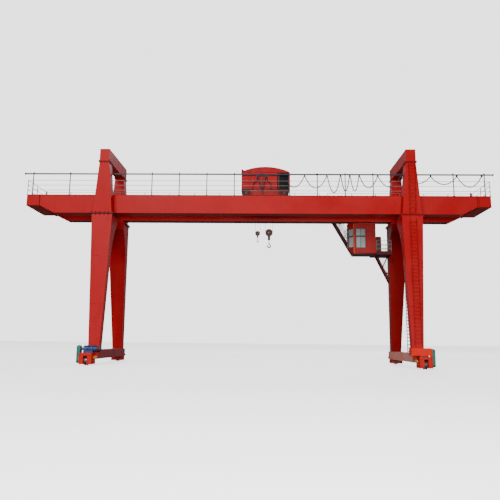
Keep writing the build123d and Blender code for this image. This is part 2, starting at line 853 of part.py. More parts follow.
def cab_body():
    """Operator's cab: a hollow box with window openings, a doorway and four hanger lugs on the roof."""
    shell = cab_outline(0) - cab_outline(cab_wall)
    deep = cab_wall + over * 2
    cuts = side_panes(deep, cab_near_y - over, 1) + side_panes(deep, cab_far_y + over, -1)
    cuts += front_panes(deep, -over) + corner_panes(deep, -over)
    cuts.append(cab_door_block(-over, cab_wall + over))
    for cut in cuts:
        shell = shell - cut
    lugs = []
    for x in (cab_front_x + cab_chamfer * 2, cab_back_x - cab_hanger * 2):
        for y in (cab_near_y + cab_hanger / 2, girder_outer_y - cab_hanger):
            lugs.append(block(x, x + cab_hanger, y, y + cab_hanger, cab_roof_z, girder_bottom_z))
    return joined([shell.solids()[0]] + lugs)


def cab_door_block(start, end):
    """The doorway or its leaf in the back wall, measured inwards from the wall's outer face."""
    centre_y = (cab_near_y + cab_far_y) / 2
    low = cab_floor_z + cab_wall
    return block(cab_back_x - end, cab_back_x - start, centre_y - cab_door_width / 2,
                 centre_y + cab_door_width / 2, low, low + cab_door_height)


def cab_glass():
    """Panes set in the middle of the cab's walls."""
    offset = (cab_wall - glass_thickness) / 2
    panes = side_panes(glass_thickness, cab_near_y + offset, 1)
    panes += side_panes(glass_thickness, cab_far_y - offset, -1)
    panes += front_panes(glass_thickness, offset) + corner_panes(glass_thickness, offset)
    return apart(panes)


def cab_door():
    """The door leaf, closed in its frame."""
    start = (cab_wall - cab_door_leaf) / 2
    return cab_door_block(start, start + cab_door_leaf)


def leg_share(z):
    """How far up the lower legs a height is."""
    foot_z = ground_beam_top_z + foot_plate
    return (z - foot_z) / (leg_top_z - foot_z)


def leg_inner_x(z):
    """X of the right-hand legs' inner side at a height."""
    return at_height(leg_foot_inner_x, leg_head_inner_x, leg_share(z))


def leg_outer_x(z):
    """X of the right-hand legs' outer side at a height."""
    return at_height(leg_foot_outer_x, leg_head_outer_x, leg_share(z))


def leg_outer_y(z):
    """Y of the far legs' outer face at a height."""
    return at_height(leg_foot_outer_y, leg_head_outer_y, leg_share(z))


def platform_end_x():
    return leg_inner_x(platform_bottom_z) - leg_gap


def cab_platform():
    """Floor beside the cab, a raised walkway behind it to the stair and a passage behind the far leg."""
    end_x = platform_end_x()
    low = platform_z - floor_thickness
    beside = block(cab_back_x, end_x, platform_near_y, platform_thick_y, platform_bottom_z, platform_z)
    edge = block(cab_back_x, end_x, platform_thick_y, platform_far_y, low, platform_z)
    passage = block(end_x, platform_outer_x, leg_outer_y(low), platform_far_y, low, platform_z)
    riser = block(cab_back_x - walkway_riser, cab_back_x, walkway_near_y, platform_thick_y, platform_bottom_z,
                  walkway_z)
    walkway = block(walkway_start_x, cab_back_x, walkway_near_y, walkway_far_y, walkway_z - floor_thickness,
                    walkway_z)
    near_board = block(cab_back_x + cab_gap, end_x, platform_near_y, platform_near_y + toe_board,
                       platform_z, platform_z + toe_board_height)
    far_board = block(cab_back_x, platform_outer_x, platform_far_y - toe_board, platform_far_y,
                      platform_z, platform_z + toe_board_height)
    walkway_board = block(walkway_start_x, cab_back_x, walkway_far_y - toe_board, walkway_far_y,
                          walkway_z, walkway_z + toe_board_height)
    return joined([beside, edge, passage, riser, walkway, near_board, far_board, walkway_board])


def platform_braces():
    """Two knee braces from the platform down to the far leg's inner side, laced together."""
    low = platform_bottom_z
    foot_z = low - brace_rise
    foot_x = leg_inner_x(foot_z)
    run = foot_x - brace_top_x
    drop = brace_depth * math.hypot(run, brace_rise) / run
    outline = [(brace_top_x, low), (brace_top_x + drop * run / brace_rise, low),
               (leg_inner_x(foot_z + drop), foot_z + drop), (foot_x, foot_z)]
    pieces = [outline_xz(outline, y, y + brace_width) for y in (brace_near_y, brace_far_y)]
    inset = brace_lacing
    for step in range(brace_lacing_count):
        start = (step + inset / brace_depth) / (brace_lacing_count + 1)
        end = start + 1 / (brace_lacing_count + 1)
        ends = (start, end) if step % 2 else (end, start)
        places = []
        for share, y in zip(ends, (brace_near_y + brace_width / 2, brace_far_y + brace_width / 2)):
            places.append((at_height(brace_top_x, foot_x, share) + inset * 1.5, y,
                           at_height(low, foot_z, share) + inset / 2))
        pieces.append(bar(places[0], places[1], brace_lacing, brace_lacing))
    return joined(pieces)


def stair_flight(low_x, low_z, high_x, high_z, y0, y1):
    """A straight flight: two stringers with treads between them."""
    rise = high_z - low_z
    run = high_x - low_x
    slope = math.atan2(rise, abs(run))
    pieces = []
    drop = stringer_depth / math.cos(slope)
    foot_z = low_z - floor_thickness
    foot_run = (drop - floor_thickness) * run / rise
    for y in (y0, y1 - stringer_width):
        outline = [(low_x, low_z), (high_x, high_z), (high_x, high_z - drop), (low_x + foot_run, foot_z),
                   (low_x, foot_z)]
        pieces.append(outline_xz(outline, y, y + stringer_width))
    steps = int(rise / tread_rise)
    for step in range(1, steps):
        z = low_z + rise * step / steps
        x = low_x + run * step / steps
        toward = 1 if run > 0 else -1
        centre = x + toward * tread_depth / 4
        pieces.append(block(centre - tread_depth / 2, centre + tread_depth / 2, y0 + stringer_width / 2,
                            y1 - stringer_width / 2, z - tread_thickness * 2, z - tread_thickness))
    return joined(pieces)


def stair_run(rise, angle):
    return rise / math.tan(math.radians(angle))


def stair_top_x():
    """X of the stair's top, at the edge of its landing on the far girder's level."""
    return walkway_start_x - stair_run(girder_top_z - walkway_z, stair_angle)


def cab_stairs():
    """The stair from the far girder's walkway down to the raised walkway, with a landing at its top."""
    top_x = stair_top_x()
    upper = stair_flight(walkway_start_x, walkway_z, top_x, girder_top_z, stair_far_y - stair_width, stair_far_y)
    landing = block(top_x - top_landing_length, top_x, girder_outer_y, stair_far_y,
                    girder_top_z - floor_thickness, girder_top_z)
    return joined([upper, landing])


def rail_run(start, end, height, side_drop=0.0):
    """Handrail between two floor points: end and middle posts and three rails, all square bars."""
    a = Vector(start)
    b = Vector(end)
    half = handrail_bar / 2
    flat = Vector((b - a).X, (b - a).Y, 0).normalized()
    pieces = []
    length = (b - a).length
    bays = max(1, round(length / handrail_bay))
    inset = flat * half
    for step in range(bays + 1):
        share = step / bays
        place = a + inset + (b - a - inset * 2) * share
        pieces.append(block(place.X - half, place.X + half, place.Y - half, place.Y + half,
                            place.Z - side_drop, place.Z + height))
    for level in range(1, railing_rail_count + 1):
        lift = Vector(0, 0, height * level / railing_rail_count - half)
        low = a + lift
        high = b + lift
        up = Vector(0, 0, 1) if abs(b.Z - a.Z) < 1 else (b - a).cross(flat.cross(Vector(0, 0, 1)))
        pieces.append(bar(low, high, handrail_bar, handrail_bar, up=up))
    return joined(pieces)


def cab_railings():
    """Handrails of the platform, the raised walkway, the stair and the landing at its top."""
    half = handrail_bar / 2
    near_y = platform_near_y + toe_board + half
    far_y = platform_far_y - toe_board - half
    walkway_y = walkway_far_y - toe_board - half
    floor = platform_z
    near_end_x = leg_inner_x(floor + handrail_height) - leg_gap
    runs = [rail_run((cab_back_x + cab_gap, near_y, floor), (near_end_x, near_y, floor), handrail_height),
            rail_run((cab_back_x, far_y, floor), (platform_outer_x, far_y, floor), handrail_height),
            rail_run((walkway_start_x, walkway_y, walkway_z), (cab_back_x, walkway_y, walkway_z),
                     handrail_height)]
    top_x = stair_top_x()
    drop = stringer_depth / 2
    for y in (stair_far_y - stair_width - half, stair_far_y + half):
        runs.append(rail_run((walkway_start_x - handrail_bar, y, walkway_z + handrail_bar),
                             (top_x + handrail_bar, y, girder_top_z - handrail_bar), handrail_height, drop))
    landing_y = stair_far_y - half
    runs.append(rail_run((top_x - top_landing_length, landing_y, girder_top_z),
                         (top_x - handrail_bar, landing_y, girder_top_z), handrail_height))
    return apart(runs)


def access_ladder():
    """Upright ladder past the far leg's outer side to the platform's end, its rungs along the girders."""
    x = access_ladder_x
    y = access_ladder_y
    low = (x, y, access_ladder_low_z)
    high = (x, y, platform_z + access_ladder_rise_over)
    ladder = ladder_between(low, high, (1, 0, 0), (0, 1, 0), [])
    stile_x = x - ladder_width / 2
    half_depth = stile_depth / 2
    half = stile_width / 2
    places = [(z, leg_outer_x(z + half)) for z in access_bracket_heights]
    places.append((platform_z - floor_thickness / 2, platform_outer_x))
    brackets = [block(start, stile_x, y - half_depth, y + half_depth, z - half, z + half) for z, start in places]
    return joined([ladder] + brackets)


def upper_leg_ladder():
    """Ladder up the outer face of the near right upper leg."""
    low_x = (leg_head_inner_x + leg_head_outer_x) / 2
    high_x = (upper_leg_head_inner_x + upper_leg_head_outer_x) / 2
    foot = Vector(low_x, -leg_head_outer_y, seat_bottom_z)
    head = Vector(high_x, -upper_leg_head_outer_y, portal_bottom_z - portal_flange_plate)
    unit = (head - foot).normalized()
    return face_ladder(foot + unit * ladder_foot_gap, head - unit * ladder_foot_gap, -1)


def leg_ladders():
    """Both ladders on the near right leg's outer face, below and above the girders' level."""
    return apart([leg_ladder(), upper_leg_ladder()])


def trolley_x(x):
    return trolley_centre_x + x


def trolley_axle_z():
    return rail_top_z + wheel_gap + trolley_wheel_radius


def fall_places(centre_x, radius):
    """X of a hoist's two rope falls, one each side of its sheave."""
    reach = radius + fall_radius + wheel_gap
    return [centre_x - reach, centre_x + reach]


def trolley_frame():
    """Deck on two end carriages with wheel pockets, and a sleeve under the deck for each rope fall."""
    x0 = trolley_x(-trolley_half_length)
    x1 = trolley_x(trolley_half_length)
    half = carriage_width / 2
    reach_y = rail_y + half
    frame = [block(trolley_x(-house_half_length), trolley_x(house_half_length), -house_half_width,
                   house_half_width, carriage_top_z, deck_top_z)]
    for side in (-1, 1):
        frame.append(block(x0, x1, side * rail_y - half, side * rail_y + half, carriage_bottom_z, carriage_top_z))
    falls = fall_places(main_block_x, main_sheave_radius) + fall_places(aux_block_x, aux_sheave_radius)
    sleeves = [rod((x, 0, carriage_top_z - sleeve_length), (x, 0, carriage_top_z), sleeve_radius)
               for x in falls]
    shape = joined(frame + sleeves)
    for end in (-1, 1):
        x = trolley_x(end * trolley_half_base)
        axle_z = trolley_axle_z()
        for side in (-1, 1):
            y = side * rail_y
            shape = shape - block(x - pocket_half_length, x + pocket_half_length, y - pocket_width / 2,
                                  y + pocket_width / 2, carriage_bottom_z - over, carriage_top_z)
        shape = shape - rod((x, -reach_y - over, axle_z), (x, reach_y + over, axle_z),
                            trolley_axle_radius + axle_clearance)
    return shape.solids()[0]


def trolley_wheelset(end):
    """Two flanged wheels on one through axle."""
    half = trolley_wheel_width / 2
    rim = half - trolley_wheel_flange
    flange_r = trolley_wheel_radius + trolley_flange_height
    profile = [(-half, 0), (-half, flange_r), (-rim, flange_r), (-rim, trolley_wheel_radius),
               (rim, trolley_wheel_radius), (rim, flange_r), (half, flange_r), (half, 0)]
    face = make_face(Polyline(*[(0, y, r) for y, r in profile], close=True))
    wheel = revolve(face, Axis.Y)
    x = trolley_x(end * trolley_half_base)
    z = trolley_axle_z()
    reach_y = rail_y + carriage_width / 2
    axle = rod((x, -reach_y, z), (x, reach_y, z), trolley_axle_radius)
    wheels = [Pos(x, side * rail_y, z) * wheel for side in (-1, 1)]
    return joined([axle] + wheels)


def trolley_house():
    """Sheet-walled house, open at the doorway at the right end of its near wall."""
    x0 = trolley_x(-house_half_length)
    x1 = trolley_x(house_half_length)
    walls = block(x0, x1, -house_half_width, house_half_width, deck_top_z, house_eave_z)
    room = block(x0 + house_wall, x1 - house_wall, -house_half_width + house_wall,
                 house_half_width - house_wall, deck_top_z - over, house_eave_z + over)
    start = trolley_x(doorway_start_x)
    low = deck_top_z + doorway_sill
    doorway = block(start, start + doorway_width, -house_half_width - over,
                    -house_half_width + house_wall + over, low, low + doorway_height)
    shape = [(walls - room - doorway).solids()[0]]
    half = tow_bracket_length / 2
    places = [(trolley_x(tow_strand_start), tow_strand_z - tow_bracket_depth),
              (trolley_x(tow_strand_end), tow_strand_z - tow_bracket_depth),
              (cable_end_x(), cable_end_z)]
    for x, z in places:
        shape.append(block(x - half, x + half, -carrier_outer_y, -house_half_width, z, z + tow_bracket_depth))
    return joined(shape)


def roof_segment(half_chord, low_z, crest_z, half_width):
    """An arched block: a circular arc over a straight chord."""
    left = (trolley_x(-half_chord), 0, low_z)
    right = (trolley_x(half_chord), 0, low_z)
    arc = ThreePointArc(left, (trolley_x(0), 0, crest_z), right)
    face = make_face([arc, Line(right, left)])
    return Pos(0, -half_width, 0) * extrude(face, half_width * 2, dir=(0, 1, 0))


def trolley_roof():
    """Arched roof with closed gables, hollow underneath."""
    outer = roof_segment(house_half_length + roof_overhang, house_eave_z, house_crest_z,
                         house_half_width + roof_overhang)
    inner = roof_segment(house_half_length - house_wall * 2, house_eave_z - roof_thickness,
                         house_crest_z - roof_thickness, house_half_width - house_wall)
    return (outer - inner).solids()[0]


def trolley_lamp():
    """Small warning lamp on the roof's near left corner."""
    x = trolley_x(-house_half_length + lamp_inset)
    y = -house_half_width + lamp_inset
    lamp = rod((x, y, house_eave_z), (x, y, house_eave_z + lamp_height), lamp_radius)
    roof = roof_segment(house_half_length + roof_overhang, house_eave_z, house_crest_z,
                        house_half_width + roof_overhang)
    return (lamp - roof).solids()[0]


def rope_falls(centre_x, axis_z, radius):
    """Two straight rope falls from the deck's sleeves to a sheave."""
    return apart([rod((x, 0, axis_z), (x, 0, carriage_top_z - sleeve_length), fall_radius)
                  for x in fall_places(centre_x, radius)])


def lifting_block(centre_x, axis_z, radius, cheek_drop):
    """A sheave on its pin between two round-headed cheek plates, and a crosshead at their narrow feet."""
    inner_y = block_plate_gap / 2
    outer_y = inner_y + block_plate
    tongue = radius * cheek_tongue_share
    low = axis_z - cheek_drop
    pieces = []
    for side in (-1, 1):
        pieces.append(rod((centre_x, side * inner_y, axis_z), (centre_x, side * outer_y, axis_z),
                          radius + cheek_rim))
        pieces.append(block(centre_x - tongue, centre_x + tongue, side * inner_y, side * outer_y, low, axis_z))
    pieces.append(rod((centre_x, -outer_y, axis_z), (centre_x, outer_y, axis_z), radius * block_pin_share))
    pieces.append(rod((centre_x, -sheave_width / 2, axis_z), (centre_x, sheave_width / 2, axis_z), radius))
    head = tongue * crosshead_share
    pieces.append(block(centre_x - head, centre_x + head, -outer_y, outer_y, low, low + head * 2))
    return joined(pieces)


def hook(centre_x, top_z, eye_z, bend_radius):
    """Flat forged hook: a round shank, a neck and a bend that opens to one side."""
    half_band = bend_radius * hook_band_share
    half_width = bend_radius * hook_width_share
    outer = CenterArc((0, 0), bend_radius + half_band, hook_opening_angle, hook_sweep_angle)
    inner = CenterArc((0, 0), bend_radius - half_band, hook_opening_angle, hook_sweep_angle)
    band = make_face([outer, Line(outer @ 1, inner @ 1), inner, Line(inner @ 0, outer @ 0)])
    neck_top = bend_radius * hook_neck_share
    neck = make_face(Polyline(inner @ 0, outer @ 0, (half_band, neck_top), (-half_band, neck_top), close=True))
    plane = Plane(origin=(centre_x, half_width, eye_z), x_dir=(1, 0, 0), z_dir=(0, -1, 0))
    body = extrude(plane * (band + neck), half_width * 2, dir=(0, -1, 0))
    shank = rod((centre_x, 0, eye_z + neck_top - half_band), (centre_x, 0, top_z), bend_radius * hook_shank_share)
    return joined([body, shank])


def main_hook():
    return hook(main_block_x, main_axis_z - main_cheek_drop, main_axis_z - main_hook_drop, main_hook_radius)


def aux_hook():
    return hook(aux_block_x, aux_axis_z - aux_cheek_drop, aux_axis_z - aux_hook_drop, aux_hook_radius)


NODES = {
    "near_girder": near_girder,
    "far_girder": lambda: flip_y(near_girder()),
    "right_end_beam": right_end_beam,
    "left_end_beam": lambda: flip_x(right_end_beam()),
    "near_right_leg": near_right_leg,
    "near_left_leg": lambda: flip_x(near_right_leg()),
    "far_right_leg": lambda: flip_y(near_right_leg()),
    "far_left_leg": lambda: flip_x(flip_y(near_right_leg())),
    "near_right_upper_leg": near_right_upper_leg,
    "near_left_upper_leg": lambda: flip_x(near_right_upper_leg()),
    "far_right_upper_leg": lambda: flip_y(near_right_upper_leg()),
    "far_left_upper_leg": lambda: flip_x(flip_y(near_right_upper_leg())),
    "right_portal_beam": right_portal_beam,
    "left_portal_beam": lambda: flip_x(right_portal_beam()),
    "right_ground_beam": right_ground_beam,
    "left_ground_beam": lambda: flip_x(right_ground_beam()),
    "near_right_wheel": lambda: travel_wheel(1, -1),
    "near_left_wheel": lambda: travel_wheel(-1, -1),
    "far_right_wheel": lambda: travel_wheel(1, 1),
    "far_left_wheel": lambda: travel_wheel(-1, 1),
    "buffers": buffers,
    "travel_motors": travel_motors,
    "travel_reducers": travel_reducers,
    "drive_hood": drive_hood,
    "trolley_rails": trolley_rails,
    "near_railing": near_railing,
    "far_railing": far_railing,
    "end_railings": end_railings,
    "festoon_posts": festoon_posts,
    "festoon_track": festoon_track,
    "festoon_carriers": festoon_carriers,
    "festoon_cable": festoon_cable,
    "leg_ladders": leg_ladders,
    "access_ladder": access_ladder,
    "cab_body": cab_body,
    "cab_glass": cab_glass,
    "cab_door": cab_door,
    "cab_platform": cab_platform,
    "platform_braces": platform_braces,
    "cab_stairs": cab_stairs,
    "cab_railings": cab_railings,
    "trolley_frame": trolley_frame,
    "trolley_house": trolley_house,
    "trolley_roof": trolley_roof,
    "trolley_lamp": trolley_lamp,
    "tow_cables": tow_cables,
    "left_trolley_wheels": lambda: trolley_wheelset(-1),
    "right_trolley_wheels": lambda: trolley_wheelset(1),
    "main_ropes": lambda: rope_falls(main_block_x, main_axis_z, main_sheave_radius),
    "aux_ropes": lambda: rope_falls(aux_block_x, aux_axis_z, aux_sheave_radius),
    "main_block": lambda: lifting_block(main_block_x, main_axis_z, main_sheave_radius, main_cheek_drop),
    "aux_block": lambda: lifting_block(aux_block_x, aux_axis_z, aux_sheave_radius, aux_cheek_drop),
    "main_hook": main_hook,
    "aux_hook": aux_hook,
}


def main():
    os.makedirs("parts", exist_ok=True)
    for name, make in NODES.items():
        export_step(make(), f"parts/{name}.step")


main()
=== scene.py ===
import math

import bmesh
import bpy
from mathutils import Matrix, Vector


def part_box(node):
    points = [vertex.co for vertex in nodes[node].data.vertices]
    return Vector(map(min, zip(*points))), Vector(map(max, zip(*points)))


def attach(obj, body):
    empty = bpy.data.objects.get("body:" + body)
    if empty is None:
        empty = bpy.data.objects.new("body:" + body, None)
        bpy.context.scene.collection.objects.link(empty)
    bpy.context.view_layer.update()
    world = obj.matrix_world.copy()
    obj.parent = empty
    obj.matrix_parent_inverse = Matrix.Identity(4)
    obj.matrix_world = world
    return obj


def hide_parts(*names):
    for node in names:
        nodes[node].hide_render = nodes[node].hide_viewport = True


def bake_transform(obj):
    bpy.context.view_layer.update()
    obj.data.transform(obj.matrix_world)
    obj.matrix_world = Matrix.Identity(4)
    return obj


# A travelling double-girder gantry crane in weathered red paint. Metres, in the frame of the solids:
# X along the girders, Y along the ground rails away from the cable line, Z up.

# Camera: the photograph's standpoint, in metres and radians, and its focal length in pixels
photo_width = 500
focal_pixels = 530
sensor_width = 36.0
camera_place = Vector((0.551, -39.031, 1.732))
camera_yaw = -0.026
camera_pitch = 0.169
camera_roll = 0.011
view_reach = 400

# Paints and finishes
red = (0.40, 0.005, 0.008, 1)
red_faded = (0.46, 0.016, 0.019, 1)
red_deep = (0.21, 0.003, 0.003, 1)
red_bright = (0.58, 0.012, 0.006, 1)
# Grime colours, used for the grime streaks and also as painted shade on downward faces
red_grime_and_shade = (0.070, 0.004, 0.005, 1)
girder_grime_and_shade = (0.34, 0.028, 0.013, 1)
beam_dust = (0.33, 0.27, 0.21, 1)
beam_khaki = (0.46, 0.39, 0.30, 1)
rail_grey = (0.20, 0.21, 0.21, 1)
rail_grey_dull = (0.13, 0.135, 0.14, 1)
slate = (0.022, 0.027, 0.040, 1)
slate_dusty = (0.050, 0.055, 0.070, 1)
steel = (0.15, 0.15, 0.15, 1)
rust = (0.10, 0.034, 0.016, 1)
motor_blue = (0.003, 0.010, 0.075, 1)
motor_blue_dull = (0.010, 0.055, 0.26, 1)
motor_cap_maroon = (0.09, 0.006, 0.014, 1)
gear_teal = (0.010, 0.17, 0.12, 1)
gear_teal_dull = (0.06, 0.22, 0.19, 1)
hood_orange = (0.70, 0.012, 0.003, 1)
hood_orange_faded = (0.72, 0.030, 0.010, 1)
buffer_yellow = (0.68, 0.26, 0.02, 1)
oil_black = (0.010, 0.009, 0.009, 1)
rubber_black = (0.014, 0.014, 0.016, 1)
block_brown = (0.050, 0.014, 0.010, 1)
bolt_ochre = (0.22, 0.075, 0.020, 1)
glass_tint = (0.62, 0.70, 0.72, 1)
glass_dust = (0.70, 0.72, 0.70, 1)
post_orange = (0.50, 0.085, 0.010, 1)
pale_metal = (0.42, 0.43, 0.43, 1)
floor_white = (0.90, 0.90, 0.90, 1)

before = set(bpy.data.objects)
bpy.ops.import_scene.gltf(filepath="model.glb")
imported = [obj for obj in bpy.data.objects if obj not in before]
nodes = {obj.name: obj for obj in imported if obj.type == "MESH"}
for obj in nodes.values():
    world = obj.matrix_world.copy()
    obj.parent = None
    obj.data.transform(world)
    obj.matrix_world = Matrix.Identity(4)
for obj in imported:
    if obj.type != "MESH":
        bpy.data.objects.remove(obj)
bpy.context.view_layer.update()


def box(name):
    """Lowest and highest corner of a solid at rest, to a tenth of a millimetre."""
    return [tuple(round(value, 4) for value in corner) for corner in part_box(name)]


# Camera

def add_camera():
    """The camera at the photograph's standpoint, level but for the small roll."""
    forward = Vector((math.sin(camera_yaw) * math.cos(camera_pitch),
                      math.cos(camera_yaw) * math.cos(camera_pitch), math.sin(camera_pitch)))
    side = Vector((math.cos(camera_yaw), -math.sin(camera_yaw), 0))
    above = side.cross(forward)
    right = side * math.cos(camera_roll) + above * math.sin(camera_roll)
    up = above * math.cos(camera_roll) - side * math.sin(camera_roll)
    turn = Matrix((right, up, -forward)).transposed().to_4x4()
    data = bpy.data.cameras.new("camera")
    data.sensor_width = sensor_width
    data.lens = sensor_width * focal_pixels / photo_width
    data.clip_end = view_reach
    camera = bpy.data.objects.new("camera", data)
    camera.matrix_world = Matrix.Translation(camera_place) @ turn
    bpy.context.scene.collection.objects.link(camera)
    bpy.context.scene.camera = camera


add_camera()


# Shader parts

def new_group(name, inputs, outputs):
    """A shader group with named colour ("C") and value ("F") sockets."""
    kinds = {"C": "NodeSocketColor", "F": "NodeSocketFloat"}
    group = bpy.data.node_groups.new(name, "ShaderNodeTree")
    for label, kind, start in inputs:
        socket = group.interface.new_socket(name=label, in_out="INPUT", socket_type=kinds[kind])
        socket.default_value = start
    for label, kind in outputs:
        group.interface.new_socket(name=label, in_out="OUTPUT", socket_type=kinds[kind])
    return group, group.nodes.new("NodeGroupInput"), group.nodes.new("NodeGroupOutput")


def add_noise(tree, scale, detail=4.0, stretch=None):
    """A noise mask over the object's own coordinates, stretched if asked."""
    place = tree.nodes.new("ShaderNodeTexCoord")
    noise = tree.nodes.new("ShaderNodeTexNoise")
    noise.inputs["Detail"].default_value = detail
    source = place.outputs["Object"]
    if stretch:
        mapping = tree.nodes.new("ShaderNodeMapping")
        mapping.inputs["Scale"].default_value = stretch
        tree.links.new(source, mapping.inputs["Vector"])
        source = mapping.outputs["Vector"]
    tree.links.new(source, noise.inputs["Vector"])
    if isinstance(scale, (int, float)):
        noise.inputs["Scale"].default_value = scale
    else:
        tree.links.new(scale, noise.inputs["Scale"])
    return noise.outputs["Fac"]


def remap(tree, value, low, high, out_low=0.0, out_high=1.0):
    """The value carried from one range to another, held at both ends."""
    node = tree.nodes.new("ShaderNodeMapRange")
    tree.links.new(value, node.inputs["Value"])
    for label, number in (("From Min", low), ("From Max", high), ("To Min", out_low), ("To Max", out_high)):
        node.inputs[label].default_value = number
    return node.outputs["Result"]


def combine(tree, operation, first, second):
    """Two masks or numbers joined by one sum."""
    node = tree.nodes.new("ShaderNodeMath")
    node.operation = operation
    for socket, value in zip(node.inputs, (first, second)):
        if isinstance(value, (int, float)):
            socket.default_value = value
        else:
            tree.links.new(value, socket)
    return node.outputs["Value"]


def blend_colours(tree, mask, first, second):
    """First colour where the mask is 0 and second where it is 1."""
    node = tree.nodes.new("ShaderNodeMix")
    node.data_type = "RGBA"
    tree.links.new(mask, node.inputs["Factor"])
    sockets = [s for s in node.inputs if s.type == "RGBA"]
    for socket, colour in zip(sockets, (first, second)):
        if isinstance(colour, tuple):
            socket.default_value = colour
        else:
            tree.links.new(colour, socket)
    return [s for s in node.outputs if s.type == "RGBA"][0]


def facing(tree, low, high):
    """Mask of how far a face looks up (or down, with low above high)."""
    geometry = tree.nodes.new("ShaderNodeNewGeometry")
    split = tree.nodes.new("ShaderNodeSeparateXYZ")
    tree.links.new(geometry.outputs["Normal"], split.inputs["Vector"])
    return remap(tree, split.outputs["Z"], low, high)


def put_out(group, end, colour, roughness, height):
    """A group's three results carried to its outputs."""
    for label, value in (("Colour", colour), ("Roughness", roughness), ("Height", height)):
        group.links.new(value, end.inputs[label])
    return group


finish_outputs = [("Colour", "C"), ("Roughness", "F"), ("Height", "F")]


def make_paint_group():
    """Sun-faded paint with rain streaks and grime, dust on upward faces and the grime colour on downward ones
    as painted shade.
    """
    group, start, end = new_group(
        "weathered_paint",
        [("Paint", "C", red), ("Faded", "C", red_faded), ("Grime and Shade", "C", red_grime_and_shade), ("Fading", "F", 0.5),
         ("Streaks", "F", 0.4), ("Blotches", "F", 0.5), ("Dust", "F", 0.15), ("Underside Shade", "F", 0.6)],
        finish_outputs)
    ins = start.outputs
    blotch = add_noise(group, ins["Blotches"], detail=6.0)
    fade = combine(group, "MULTIPLY", remap(group, blotch, 0.38, 0.66), ins["Fading"])
    colour = blend_colours(group, fade, ins["Paint"], ins["Faded"])
    streak = add_noise(group, 1.0, detail=5.0, stretch=(3.2, 3.2, 0.22))
    streak_mask = combine(group, "MULTIPLY", remap(group, streak, 0.54, 0.74), ins["Streaks"])
    colour = blend_colours(group, streak_mask, colour, ins["Grime and Shade"])
    patch = add_noise(group, 0.9, detail=3.0)
    patch_mask = combine(group, "MULTIPLY", remap(group, patch, 0.50, 0.75), ins["Streaks"])
    colour = blend_colours(group, combine(group, "MULTIPLY", patch_mask, 0.5), colour, ins["Grime and Shade"])
    # Downward faces darken towards the grime colour: painted shade.
    shade_below = combine(group, "MULTIPLY", facing(group, -0.3, -0.9), ins["Underside Shade"])
    colour = blend_colours(group, shade_below, colour, ins["Grime and Shade"])
    above = combine(group, "MULTIPLY", facing(group, 0.5, 0.95), ins["Dust"])
    colour = blend_colours(group, above, colour, beam_dust)
    chips = remap(group, add_noise(group, 14.0, detail=8.0), 0.70, 0.73)
    colour = blend_colours(group, combine(group, "MULTIPLY", chips, 0.55), colour, rust)
    sheen = remap(group, blotch, 0.3, 0.7, 0.36, 0.52)
    rough = combine(group, "ADD", sheen, combine(group, "MULTIPLY", chips, 0.3))
    waves = add_noise(group, 0.8, detail=1.0)
    peel = combine(group, "MULTIPLY", add_noise(group, 90.0, detail=2.0), 0.03)
    pitted = combine(group, "MULTIPLY", chips, 0.05)
    height = combine(group, "SUBTRACT", combine(group, "ADD", waves, peel), pitted)
    return put_out(group, end, colour, rough, height)


def make_metal_group():
    """Oiled or rusty steel: two tones in small blotches with pits."""
    group, start, end = new_group(
        "used_steel",
        [("Steel", "C", steel), ("Rust", "C", rust), ("Rusting", "F", 0.5), ("Blotches", "F", 6.0)],
        finish_outputs)
    ins = start.outputs
    blotch = add_noise(group, ins["Blotches"], detail=8.0)
    mask = combine(group, "MULTIPLY", remap(group, blotch, 0.42, 0.62), ins["Rusting"])
    colour = blend_colours(group, mask, ins["Steel"], ins["Rust"])
    rough = combine(group, "ADD", combine(group, "MULTIPLY", mask, 0.45), 0.32)
    pits = add_noise(group, 60.0, detail=6.0)
    return put_out(group, end, colour, rough, pits)


def make_dusty_group():
    """Rubber or plastic with a pale dust film that gathers in patches."""
    group, start, end = new_group(
        "dusty_film",
        [("Base", "C", rubber_black), ("Film", "C", slate_dusty), ("Amount", "F", 0.4),
         ("Blotches", "F", 3.0)],
        finish_outputs)
    ins = start.outputs
    blotch = add_noise(group, ins["Blotches"], detail=5.0)
    mask = combine(group, "MULTIPLY", remap(group, blotch, 0.35, 0.65), ins["Amount"])
    colour = blend_colours(group, mask, ins["Base"], ins["Film"])
    rough = remap(group, blotch, 0.3, 0.7, 0.45, 0.75)
    grain = add_noise(group, 140.0, detail=3.0)
    return put_out(group, end, colour, rough, grain)


paint_relief = 0.02
steel_relief = 0.002
film_relief = 0.001
paint_group = make_paint_group()
metal_group = make_metal_group()
dusty_group = make_dusty_group()


def new_material(name, group, values, bump_strength, bump_distance, **fixed):
    """A material that takes colour, roughness and bump from one group, and the rest as plain numbers."""
    material = bpy.data.materials.new(name)
    material.use_nodes = True
    tree = material.node_tree
    shader = tree.nodes["Principled BSDF"]
    part = tree.nodes.new("ShaderNodeGroup")
    part.node_tree = group
    for label, value in values.items():
        part.inputs[label].default_value = value
    tree.links.new(part.outputs["Colour"], shader.inputs["Base Color"])
    tree.links.new(part.outputs["Roughness"], shader.inputs["Roughness"])
    bump = tree.nodes.new("ShaderNodeBump")
    bump.inputs["Strength"].default_value = bump_strength
    bump.inputs["Distance"].default_value = bump_distance
    tree.links.new(part.outputs["Height"], bump.inputs["Height"])
    tree.links.new(bump.outputs["Normal"], shader.inputs["Normal"])
    for label, value in fixed.items():
        shader.inputs[label.replace("_", " ")].default_value = value
    return material


